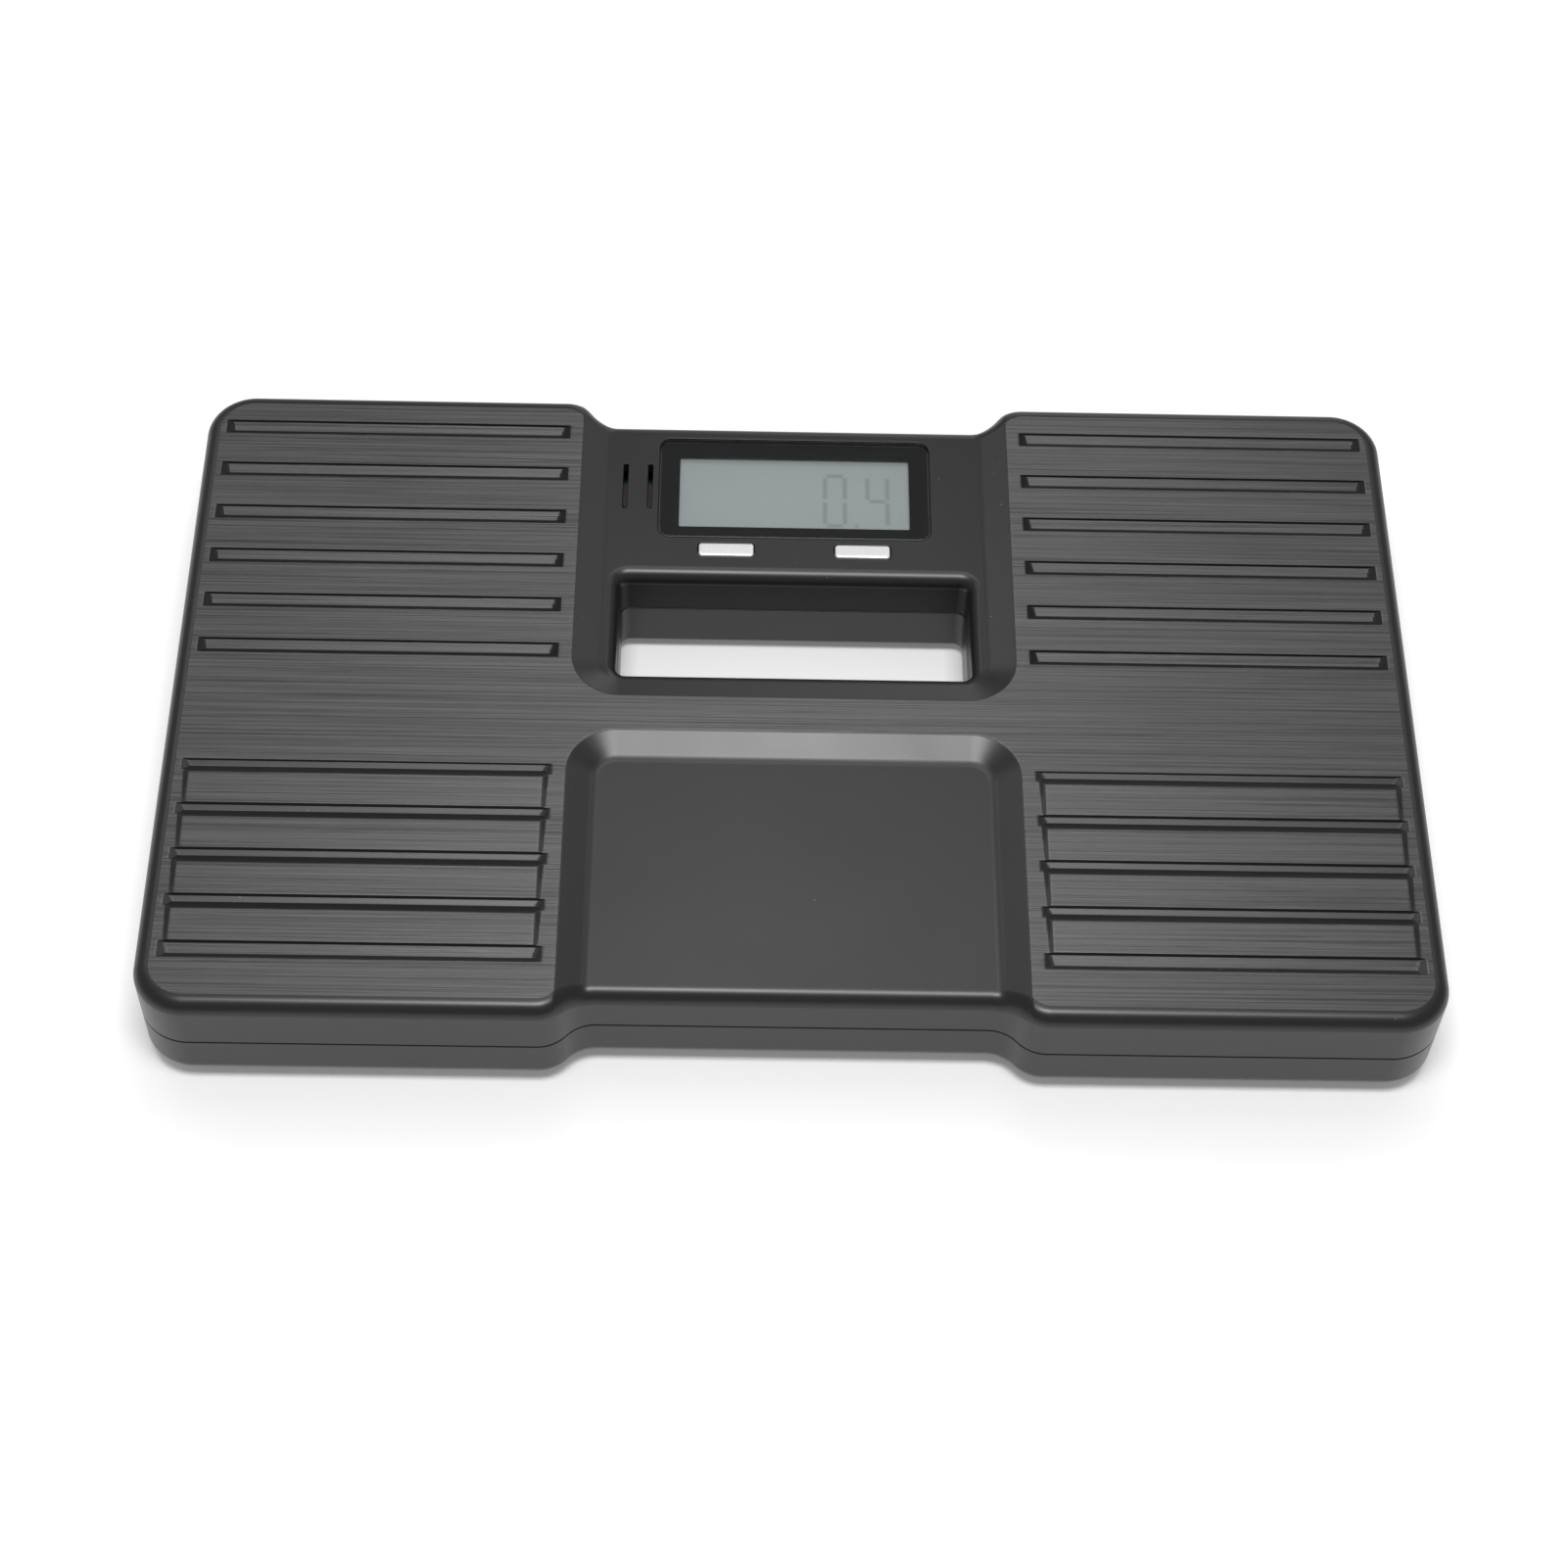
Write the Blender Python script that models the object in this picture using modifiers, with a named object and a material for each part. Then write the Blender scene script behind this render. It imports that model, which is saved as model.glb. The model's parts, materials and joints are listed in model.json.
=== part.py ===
"""Portable digital bathroom scale with two ribbed wings, a sunk console, a hand hole and a sunk front field.

Metres, +Z up, +Y to the back (the display side), +X to the right. The origin is on the floor, under the middle.
"""

import math

import bmesh
import bpy
from mathutils import Matrix, Vector

# Body
WIDTH = 0.310
DEPTH = 0.1892
BODY_HEIGHT = 0.030  # from the body's underside to the wings' tops
LOWER_HEIGHT = 0.014  # side wall of the bottom cover
FOOT_DROP = 0.003  # the body's underside above the floor
CORNER_RADIUS = 0.0125
TOP_FILLET = 0.0039
BOTTOM_FILLET = 0.004
WAIST_INSET = 0.0063  # how far the waist stands back from the wings, front and back
WAIST_HALF = 0.0465  # half the straight part of the waist
WING_START = 0.0605  # where the wings' straight edges start

# Walls and clearances
WALL = 0.0022
TOP_WALL = 0.0025
FLOOR_WALL = 0.0022
GAP = 0.0003  # between pieces that touch
LIP_THICK = 0.0010
LIP_HEIGHT = 0.0015

# Sunk fields: each has a sloped border, and is open at the body's edge
FIELD_HALF = 0.0559
FIELD_CORNER = 0.0125
CONSOLE_DEPTH = 0.0025
CONSOLE_SLOPE = 0.0072
RECESS_DEPTH = 0.0031
RECESS_SLOPE = 0.0068
CONSOLE_LAND = 0.0094  # from the console's front border to the hand hole
BRIDGE = 0.0103  # between the two fields

# Hand hole
HOLE_HALF = 0.0448
HOLE_LENGTH = 0.0303
HOLE_FROM_BACK = 0.0578
HOLE_CORNER = 0.0025
HOLE_FLARE = 0.0035
HOLE_LOWER_FLARE = 0.0012
HOLE_FLARE_LIFT = 0.00005  # keeps the flare's last ring off the flat face around it

# Grooves and treads on the wings
GROOVE_OUTER_MARGIN = 0.0054
GROOVE_INNER_MARGIN = 0.0033
GROOVE_DEPTH = 0.0010
GROOVE_WIDTH = 0.00446
GROOVE_STEEP = 0.0003  # run of the back wall
GROOVE_RAMP = 1.55  # run of the front wall for each unit of rise
GROOVE_END = 0.0020  # run of the end walls
BACK_GROOVES = 6
BACK_PITCH = 0.01436
BACK_MARGIN = 0.0097
FRONT_GROOVES = 5
FRONT_PITCH = 0.01307
FRONT_MARGIN = 0.0139
TREAD_RISE = 0.0009
TREAD_FRONT_RISE = 0.00025
TREAD_GROOVE_WIDTH = 0.0032

# Display window, lens and screen
LENS_SIZE = (0.0704, 0.0328)
LENS_CORNER = 0.003
LENS_THICK = 0.0015
LENS_FROM_BACK = 0.0281
LENS_LEDGE = 0.0042  # the lens rests on a ledge this wide
WINDOW_CORNER = 0.0010
SCREEN_SIZE = (0.0650, 0.0290)
SCREEN_THICK = 0.0026
SCREEN_CORNER = 0.0005
SCREEN_FRAME_WALL = 0.0022
ZEBRA_MARGIN = (0.0020, 0.0015)  # the contact strip's ends and middle line, inside the screen's edges
ZEBRA_WIDTH = 0.0020
CHIP_BLOB = ((0.0, 0.0), (0.0065, 0.0), (0.0058, -0.0010), (0.0030, -0.0017), (0.0, -0.0019))
CHIP_PLACE = (0.012, -0.004)  # from the screen's middle
BOARD_DROP = 0.0088  # from the console's floor to the board's top
BOARD_THICK = 0.0016
BOARD_HALF = 0.0475
BOARD_MARGIN = 0.0040  # from the tube wall and from the waist's inner wall

# Buttons
BUTTON_SIZE = (0.0142, 0.0041)
BUTTON_X = 0.0176
BUTTON_FROM_BACK = 0.0489
BUTTON_PROUD = 0.0004
BUTTON_CORNER = 0.0008
BUTTON_FLANGE = 0.0010
BUTTON_FLANGE_THICK = 0.0008
SWITCH_SIZE = 0.0060
SWITCH_HEIGHT = 0.0030
PLUNGER_RADIUS = 0.0017
PLUNGER_SUNK = 0.0010
BUTTON_TRAVEL = 0.0005

# Buzzer slots
SLOT_SIZE = (0.0013, 0.0150)
SLOT_X = (-0.04425, -0.03780)
SLOT_FROM_BACK = 0.0279
BUZZER_RADIUS = 0.0052
BUZZER_HEIGHT = 0.0045

# Weighing corners
FOOT_INSET = 0.028  # foot centre from both edges of the body
FOOT_RADIUS = 0.0145
FOOT_FLANGE = 0.0020
FOOT_HOLE_GAP = 0.0006
PAD_RADIUS = 0.0120
PAD_HEIGHT = 0.0020
PAD_PROUD = 0.0010
PAD_EDGE = 0.0004
FOOT_EDGE = 0.0008
FOOT_STUD_RADIUS = 0.0040
FOOT_FLANGE_THICK = 0.0010
FOOT_CROWN = 0.0005  # the flange's top rises this much towards the stud
CELL_SIZE = 0.034
CELL_THICK = 0.0032
CELL_UNDER = 0.0096  # the cell's underside above the floor
CELL_BAR = 0.0045
CELL_SLOT = 0.0025
CELL_CORNER = 0.0030
BRACKET_THICK = 0.0030
BRACKET_BAR = 0.0050
POCKET_WALL = 0.0030

# Screws
SCREW_RADIUS = 0.0015
SCREW_HEAD_RADIUS = 0.0028
SCREW_HEAD_THICK = 0.0018
SCREW_SEAT = 0.0055  # how far above the body's underside the heads seat
SCREW_LENGTH = 0.0160
BOSS_RADIUS = 0.0042
CASE_SCREW_INSET = (0.062, 0.0186)
MIDDLE_SCREW_X = 0.0605
BOARD_SCREW_RADIUS = 0.0010
BOARD_SCREW_HEAD = 0.0021
BOARD_SCREW_HEAD_THICK = 0.0012
BOARD_SCREW_LENGTH = 0.0055
BOARD_BOSS_RADIUS = 0.0026
BOARD_SCREW_EDGE = 0.0032

# Batteries and their bay
BATTERY_RADIUS = 0.00525
BATTERY_LENGTH = 0.0437
BATTERY_NUB = (0.0019, 0.0008)
BATTERY_SPACING = 2 * BATTERY_RADIUS + 0.0007
BAY_SPRING = 0.0040
BAY_WALL = 0.0020
BAY_FROM_FRONT = 0.0446
BAY_CLEARANCE = 0.0006
PLATE_THICK = 0.0004
PLATE_REACH = 0.8  # the contact plates' half height, in battery radii
SPRING_WIRE = 0.0003
SPRING_TURNS = 3
SPRING_STEPS = 9  # in each turn
SPRING_RADII = (0.0034, 0.0020)  # at the plate and at the battery
DOOR_THICK = 0.0020
DOOR_MARGIN = 0.0012  # the door's edge past the bay
TONGUE_X = 0.0150
TONGUE_WIDTH = 0.0060
TONGUE_REACH = 0.0022
TONGUE_THICK = 0.0012
LATCH_WIDTH = 0.0100
LATCH_HEIGHT = 0.0050
LATCH_THICK = 0.0012
LATCH_SETBACK = 0.0006  # from the door's edge
TONGUE_ROOT = 0.0030
TONGUE_SETBACK = 0.0004
GRIP_SIZE = (0.0014, 0.0008)  # the finger groove's width and depth
GRIP_SETBACK = 0.0032

# Leads
LEAD_RADIUS = 0.0008
LEAD_NOTCH = 0.0050
LEAD_OVER_CELL = 0.0024  # the lead's middle above the cell's underside
LEAD_FLOOR = 0.0040  # the leads' middle above the floor's inner face
LEAD_BOARD_INSET = 0.0045  # where the leads meet the board, from its ends
LEAD_BOARD_RISE = 0.0040  # their last straight run up to the board
WIRE_RADIUS = 0.0006
WIRE_BOARD_X = 0.0100  # where the wires meet the board, inside the hand hole's wall

ARC_STEPS = 6
ROUND_SIDES = 16
SCREW_SIDES = 12
FOOT_SIDES = 24
FAR = 0.020  # how far a cutter runs past the body

BACK = DEPTH / 2
SIDE = WIDTH / 2
UNDERSIDE = FOOT_DROP
PARTING = FOOT_DROP + LOWER_HEIGHT
WING_TOP = FOOT_DROP + BODY_HEIGHT
CONSOLE_TOP = WING_TOP - CONSOLE_DEPTH
RECESS_TOP = WING_TOP - RECESS_DEPTH
CEILING = RECESS_TOP - TOP_WALL
WING_CEILING = WING_TOP - TOP_WALL
FLOOR_TOP = UNDERSIDE + FLOOR_WALL
HOLE_BACK = BACK - HOLE_FROM_BACK
HOLE_FRONT = HOLE_BACK - HOLE_LENGTH
CONSOLE_FRONT = HOLE_FRONT - CONSOLE_LAND
RECESS_BACK = CONSOLE_FRONT - BRIDGE
LENS_Y = BACK - LENS_FROM_BACK
BUTTON_Y = BACK - BUTTON_FROM_BACK
SLOT_Y = BACK - SLOT_FROM_BACK
BOARD_TOP = CONSOLE_TOP - BOARD_DROP
BOARD_BOTTOM = BOARD_TOP - BOARD_THICK
BOARD_FRONT = HOLE_BACK + WALL + BOARD_MARGIN / 2
BOARD_BACK = BACK - WAIST_INSET - WALL - BOARD_MARGIN / 2
BAY_Y = -BACK + BAY_FROM_FRONT
BAY_HALF_X = BATTERY_LENGTH / 2 + BAY_SPRING
BAY_HALF_Y = BATTERY_SPACING / 2 + BATTERY_RADIUS + BAY_CLEARANCE
BATTERY_Z = UNDERSIDE + DOOR_THICK + BAY_CLEARANCE + BATTERY_RADIUS
BAY_CEILING = BATTERY_Z + BATTERY_RADIUS + BAY_CLEARANCE
DOOR_FRONT = BAY_Y - BAY_HALF_Y - DOOR_MARGIN
DOOR_BACK = BAY_Y + BAY_HALF_Y + DOOR_MARGIN
DOOR_HALF = BAY_HALF_X + DOOR_MARGIN
SIDES = (("left", -1), ("right", 1))
CORNERS = tuple((f"{row}_{side}", sx, sy) for row, sy in (("front", -1), ("back", 1)) for side, sx in SIDES)


# Shared tools ------------------------------------------------------------------------------------------------


def clear_scene():
    for obj in list(bpy.data.objects):
        bpy.data.objects.remove(obj)


def collection(name):
    made = bpy.data.collections.new(name)
    bpy.context.scene.collection.children.link(made)
    return made


def material(name, colour, roughness, metallic=0.0, alpha=1.0):
    made = bpy.data.materials.new(name)
    made.use_nodes = True
    shader = made.node_tree.nodes["Principled BSDF"]
    shader.inputs["Base Color"].default_value = (*colour, 1.0)
    shader.inputs["Roughness"].default_value = roughness
    shader.inputs["Metallic"].default_value = metallic
    shader.inputs["Alpha"].default_value = alpha
    return made


def object_from(name, mesh, group):
    made = bpy.data.objects.new(name, mesh)
    group.objects.link(made)
    return made


def object_of(name, bm, group):
    """A mesh object from a bmesh, with its faces pointing out."""
    bmesh.ops.recalc_face_normals(bm, faces=bm.faces)
    mesh = bpy.data.meshes.new(name)
    bm.to_mesh(mesh)
    bm.free()
    return object_from(name, mesh, group)


def add_box(bm, low, high):
    size = [b - a for a, b in zip(low, high)]
    centre = [(a + b) / 2 for a, b in zip(low, high)]
    bmesh.ops.create_cube(bm, size=1.0, matrix=Matrix.Translation(centre) @ Matrix.Diagonal((*size, 1.0)))


def add_cylinder(bm, x, y, radius, low, high, sides=ROUND_SIDES):
    bmesh.ops.create_cone(
        bm,
        cap_ends=True,
        segments=sides,
        radius1=radius,
        radius2=radius,
        depth=high - low,
        matrix=Matrix.Translation((x, y, (low + high) / 2)),
    )


def add_loft(bm, rings):
    """A closed solid between rings with the same number of points."""
    rows = [[bm.verts.new(point) for point in ring] for ring in rings]
    for lower, upper in zip(rows, rows[1:]):
        count = len(lower)
        for i in range(count):
            bm.faces.new((lower[i], lower[(i + 1) % count], upper[(i + 1) % count], upper[i]))
    bm.faces.new(rows[0])
    bm.faces.new(rows[-1])


def add_plate(bm, loops, low, high):
    """An extruded outline: the first loop is its edge, and the others are its holes."""
    curve = bpy.data.curves.new("outline", "CURVE")
    curve.dimensions = "2D"
    curve.fill_mode = "BOTH"
    curve.extrude = (high - low) / 2
    for loop in loops:
        spline = curve.splines.new("POLY")
        spline.points.add(len(loop) - 1)
        for point, (x, y) in zip(spline.points, loop):
            point.co = (x, y, 0.0, 1.0)
        spline.use_cyclic_u = True
    guide = bpy.data.objects.new("outline", curve)
    bpy.context.scene.collection.objects.link(guide)
    bpy.context.view_layer.update()
    mesh = bpy.data.meshes.new_from_object(guide.evaluated_get(bpy.context.evaluated_depsgraph_get()))
    mesh.transform(Matrix.Translation((0.0, 0.0, (low + high) / 2)))
    bpy.data.objects.remove(guide)
    flat = bmesh.new()
    flat.from_mesh(mesh)
    bmesh.ops.remove_doubles(flat, verts=flat.verts, dist=1e-6)
    if len(loops) == 1:
        bmesh.ops.dissolve_limit(
            flat, angle_limit=math.radians(0.5), verts=flat.verts, edges=flat.edges, delimit={"NORMAL"}
        )
    flat.to_mesh(mesh)
    flat.free()
    bm.from_mesh(mesh)
    bpy.data.meshes.remove(mesh)


def box(name, low, high, group):
    bm = bmesh.new()
    add_box(bm, low, high)
    return object_of(name, bm, group)


def plate(name, loops, low, high, group):
    bm = bmesh.new()
    add_plate(bm, loops, low, high)
    return object_of(name, bm, group)


def turned(name, profile, group, steps=ROUND_SIDES):
    """A profile of (radius, height) points turned round Z, from its top down its outer side."""
    bm = bmesh.new()
    verts = [bm.verts.new((radius, 0.0, height)) for radius, height in profile]
    for a, b in zip(verts, verts[1:]):
        bm.edges.new((a, b))
    mesh = bpy.data.meshes.new(name)
    bm.to_mesh(mesh)
    bm.free()
    made = object_from(name, mesh, group)
    screw = made.modifiers.new("turn", "SCREW")
    screw.steps = steps
    screw.render_steps = steps
    screw.use_merge_vertices = True
    screw.merge_threshold = 0.00001
    return made


def boolean(target, tool, operation):
    tool.hide_render = True
    tool.display_type = "WIRE"
    modifier = target.modifiers.new(f"{operation.lower()} {tool.name}", "BOOLEAN")
    modifier.operation = operation
    modifier.object = tool
    modifier.solver = "EXACT"


def cut(target, tool):
    boolean(target, tool, "DIFFERENCE")


def join(target, tool):
    boolean(target, tool, "UNION")


def bevel(target, width, segments, angle=60.0):
    modifier = target.modifiers.new("bevel", "BEVEL")
    modifier.width = width
    modifier.segments = segments
    modifier.limit_method = "ANGLE"
    modifier.angle_limit = math.radians(angle)
    modifier.use_clamp_overlap = False


def tube(name, points, radius, group):
    curve = bpy.data.curves.new(name, "CURVE")
    curve.dimensions = "3D"
    curve.bevel_depth = radius
    curve.bevel_resolution = 2
    curve.use_fill_caps = True
    spline = curve.splines.new("POLY")
    spline.points.add(len(points) - 1)
    for point, place in zip(spline.points, points):
        point.co = (*place, 1.0)
    return object_from(name, curve, group)


def smooth(route, per_span=3):
    """Points on a Catmull-Rom curve through the route's points."""
    ends = [route[0], *route, route[-1]]
    points = []
    for a, b, c, d in zip(ends, ends[1:], ends[2:], ends[3:]):
        a, b, c, d = Vector(a), Vector(b), Vector(c), Vector(d)
        for step in range(per_span):
            t = step / per_span
            points.append(
                b
                + (c - a) * (t / 2)
                + (2 * a - 5 * b + 4 * c - d) * (t * t / 2)
                + (3 * b - a - 3 * c + d) * (t**3 / 2)
            )
    points.append(Vector(route[-1]))
    return points


# Outlines ----------------------------------------------------------------------------------------------------


def arc(centre, radius, start, end, steps=ARC_STEPS):
    turns = [math.radians(start + (end - start) * i / steps) for i in range(steps + 1)]
    return [(centre[0] + radius * math.cos(a), centre[1] + radius * math.sin(a)) for a in turns]


def body_outline(inset=0.0):
    """The body from above, offset inwards: rounded corners, and a waist that stands back through S-curves."""
    run = WING_START - WAIST_HALF
    bend = (run**2 + WAIST_INSET**2) / (4 * WAIST_INSET)
    turn = math.degrees(2 * math.atan2(WAIST_INSET, run))
    waist = BACK - WAIST_INSET
    quarter = [
        *arc((WAIST_HALF, waist + bend), bend + inset, -90, -90 + turn, 4),
        *arc((WING_START, BACK - bend), bend - inset, 90 + turn, 90, 4)[1:],
        *arc((SIDE - CORNER_RADIUS, BACK - CORNER_RADIUS), CORNER_RADIUS - inset, 90, 0),
    ]
    right = quarter + [(x, -y) for x, y in reversed(quarter)]
    return right + [(-x, y) for x, y in reversed(right)]


def rounded(low, high, radius, steps=ARC_STEPS):
    """A rectangle with round corners."""
    x0, y0 = low[0] + radius, low[1] + radius
    x1, y1 = high[0] - radius, high[1] - radius
    return [
        *arc((x1, y1), radius, 0, 90, steps),
        *arc((x0, y1), radius, 90, 180, steps),
        *arc((x0, y0), radius, 180, 270, steps),
        *arc((x1, y0), radius, 270, 360, steps),
    ]


def around(centre, size, radius, steps=ARC_STEPS):
    low = [c - s / 2 for c, s in zip(centre, size)]
    high = [c + s / 2 for c, s in zip(centre, size)]
    return rounded(low, high, radius, steps)


def square(centre, size):
    (x, y), half = centre, size / 2
    return [(x - half, y - half), (x + half, y - half), (x + half, y + half), (x - half, y + half)]


def hole_outline(grow=0.0):
    return rounded(
        (-HOLE_HALF - grow, HOLE_FRONT - grow), (HOLE_HALF + grow, HOLE_BACK + grow), HOLE_CORNER + grow
    )


def at_height(loop, z):
    return [(x, y, z) for x, y in loop]


def field_cutter(name, edge, towards, depth, slope, group):
    """Cuts a field sunk by depth, whose round-cornered border starts at edge and which runs off the body."""

    def ring(grow, z):
        half = FIELD_HALF + grow
        radius = FIELD_CORNER + grow
        start = edge - towards * grow
        corner = arc((half - radius, 0.0), radius, 0, 90)
        side = [(x, start + towards * (radius - y)) for x, y in corner]
        far = towards * (BACK + FAR)
        loop = [(half, far), *side, *[(-x, y) for x, y in reversed(side)], (-half, far)]
        return at_height(loop, z)

    lift = depth
    bm = bmesh.new()
    add_loft(bm, [ring(-slope, WING_TOP - depth), ring(slope * lift / depth, WING_TOP + lift)])
    return object_of(name, bm, group)


# Places that several pieces share ----------------------------------------------------------------------------


def foot_centre(sx, sy):
    return sx * (SIDE - FOOT_INSET), sy * (BACK - FOOT_INSET)


def case_screws():
    x, y = SIDE - CASE_SCREW_INSET[0], BACK - CASE_SCREW_INSET[1]
    middle = (HOLE_FRONT + HOLE_BACK) / 2
    corners = [(name, sx * x, sy * y) for name, sx, sy in CORNERS]
    return corners + [(f"middle_{side}", sx * MIDDLE_SCREW_X, middle) for side, sx in SIDES]


def board_screws():
    x = BOARD_HALF - BOARD_SCREW_EDGE
    rows = {"front": BOARD_FRONT + BOARD_SCREW_EDGE, "back": BOARD_BACK - BOARD_SCREW_EDGE}
    return [(name, sx * x, rows[name.split("_")[0]]) for name, sx, sy in CORNERS]


def back_groove_edges():
    return [BACK - BACK_MARGIN - i * BACK_PITCH for i in range(BACK_GROOVES)]


def front_groove_edges():
    """The back edges of the front grooves, from the back one to the front one."""
    first = -BACK + FRONT_MARGIN + GROOVE_WIDTH + (FRONT_GROOVES - 1) * FRONT_PITCH
    return [first - i * FRONT_PITCH for i in range(FRONT_GROOVES)]


def groove_ends(sx):
    inner = FIELD_HALF + GROOVE_INNER_MARGIN
    outer = SIDE - GROOVE_OUTER_MARGIN
    return sorted((sx * inner, sx * outer))


# Top cover ---------------------------------------------------------------------------------------------------


def groove_cutter(group):
    """A steep back wall, a flat floor, and a front wall that ramps up over the tread in front of it."""
    lift = 0.002
    bm = bmesh.new()
    front = front_groove_edges()
    widths = [GROOVE_WIDTH] * BACK_GROOVES + [TREAD_GROOVE_WIDTH] * (FRONT_GROOVES - 1) + [GROOVE_WIDTH]
    for edge, width in zip(back_groove_edges() + front, widths):
        for _, sx in SIDES:
            x0, x1 = groove_ends(sx)
            rings = []
            for z in (-GROOVE_DEPTH, lift):
                end = GROOVE_END * z / GROOVE_DEPTH
                back = edge + GROOVE_STEEP * z / GROOVE_DEPTH
                ramp = edge - width - GROOVE_RAMP * z
                loop = [(x0 - end, ramp), (x1 + end, ramp), (x1 + end, back), (x0 - end, back)]
                rings.append(at_height(loop, WING_TOP + z))
            add_loft(bm, rings)
    return object_of("groove_cutter", bm, group)


def treads(group):
    """Ridges between the front grooves that rise towards the back."""
    sunk = 0.0006
    overrun = 0.0002
    bm = bmesh.new()
    for edge, following in zip(front_groove_edges(), front_groove_edges()[1:]):
        back, front = edge - TREAD_GROOVE_WIDTH + overrun, following - GROOVE_STEEP
        for _, sx in SIDES:
            x0, x1 = groove_ends(sx)
            base = at_height([(x0, front), (x1, front), (x1, back), (x0, back)], WING_TOP - sunk)
            inner0, inner1 = x0 + GROOVE_END, x1 - GROOVE_END
            rise_front, rise_back = WING_TOP + TREAD_FRONT_RISE, WING_TOP + TREAD_RISE
            top = [
                (inner0, front, rise_front),
                (inner1, front, rise_front),
                (inner1, back, rise_back),
                (inner0, back, rise_back),
            ]
            add_loft(bm, [base, top])
    return object_of("treads", bm, group)


def hole_cutter(name, flare, flare_z, direction, group):
    """The hand hole with a round edge at flare_z; direction is +1 where that edge faces up."""
    steps = 4
    flare_z += direction * HOLE_FLARE_LIFT
    rings = [at_height(hole_outline(), flare_z - direction * FAR)]
    for i in range(steps + 1):
        turn = math.radians(90 * i / steps)
        grow = flare * (1 - math.cos(turn))
        rings.append(at_height(hole_outline(grow), flare_z - direction * flare * (1 - math.sin(turn))))
    rings.append(at_height(hole_outline(flare), flare_z + direction * FAR))
    bm = bmesh.new()
    add_loft(bm, rings)
    return object_of(name, bm, group)


def wing_cavities(group):
    bm = bmesh.new()
    for _, sx in SIDES:
        inner, outer = FIELD_HALF + TOP_WALL, SIDE - WALL
        x0, x1 = sorted((sx * inner, sx * outer))
        radius = CORNER_RADIUS - WALL
        loop = rounded((x0, -BACK + WALL), (x1, BACK - WALL), radius)
        add_plate(bm, [loop], CEILING - WALL, WING_CEILING)
    return object_of("wing_cavities", bm, group)


def top_bosses(group):
    sunk = WALL / 2
    bm = bmesh.new()
    for _, x, y in case_screws():
        add_cylinder(bm, x, y, BOSS_RADIUS, PARTING + GAP / 2, WING_CEILING + sunk)
    for _, x, y in board_screws():
        add_cylinder(bm, x, y, BOARD_BOSS_RADIUS, BOARD_TOP + GAP, CEILING + sunk, 12)
    return object_of("top_bosses", bm, group)


def load_ribs(group):
    """Square rings that carry the wings' load down to the load cells' brackets."""
    low = CELL_UNDER + CELL_THICK + GAP + BRACKET_THICK + GAP
    bm = bmesh.new()
    for _, sx, sy in CORNERS:
        centre = foot_centre(sx, sy)
        loops = [square(centre, CELL_SIZE), square(centre, CELL_SIZE - 2 * WALL)]
        add_plate(bm, loops, low, WING_CEILING + WALL / 2)
    return object_of("load_ribs", bm, group)


def stiffening_ribs(group):
    depth = 0.006
    thick = 0.0016
    start = FIELD_HALF + 2 * TOP_WALL
    end = SIDE - 2 * WALL
    bm = bmesh.new()
    for _, sx in SIDES:
        for y in (-0.016, 0.0, 0.016):
            x0, x1 = sorted((sx * start, sx * end))
            low = (x0, y - thick / 2, WING_CEILING - depth)
            add_box(bm, low, (x1, y + thick / 2, WING_CEILING + WALL / 2))
    return object_of("stiffening_ribs", bm, group)


def lens_loop(grow=0.0):
    size = [s + 2 * grow for s in LENS_SIZE]
    return around((0.0, LENS_Y), size, LENS_CORNER + grow)


def window_loop():
    size = [s - 2 * LENS_LEDGE for s in LENS_SIZE]
    return around((0.0, LENS_Y), size, WINDOW_CORNER, 2)


def console_openings(group):
    """The lens seat, the window, the button holes and the buzzer slots."""
    bm = bmesh.new()
    add_plate(bm, [window_loop()], CEILING - WALL, CONSOLE_TOP - LENS_THICK)
    for _, sx in SIDES:
        size = [s + 2 * GAP for s in BUTTON_SIZE]
        loop = around((sx * BUTTON_X, BUTTON_Y), size, BUTTON_CORNER + GAP, 3)
        add_plate(bm, [loop], CEILING - WALL, WING_TOP)
    for x in SLOT_X:
        add_plate(bm, [around((x, SLOT_Y), SLOT_SIZE, SLOT_SIZE[0] * 0.49, 3)], CEILING - WALL, WING_TOP)
    return object_of("console_openings", bm, group)


def screw_bores(group):
    bm = bmesh.new()
    for _, x, y in case_screws():
        top = UNDERSIDE + SCREW_SEAT + SCREW_LENGTH + 2 * GAP
        add_cylinder(bm, x, y, SCREW_RADIUS + GAP, PARTING - WALL, top, 12)
    for _, x, y in board_screws():
        top = BOARD_BOTTOM + BOARD_SCREW_LENGTH + GAP
        add_cylinder(bm, x, y, BOARD_SCREW_RADIUS + GAP, BOARD_TOP - WALL, top, 8)
    return object_of("screw_bores", bm, group)


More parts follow.
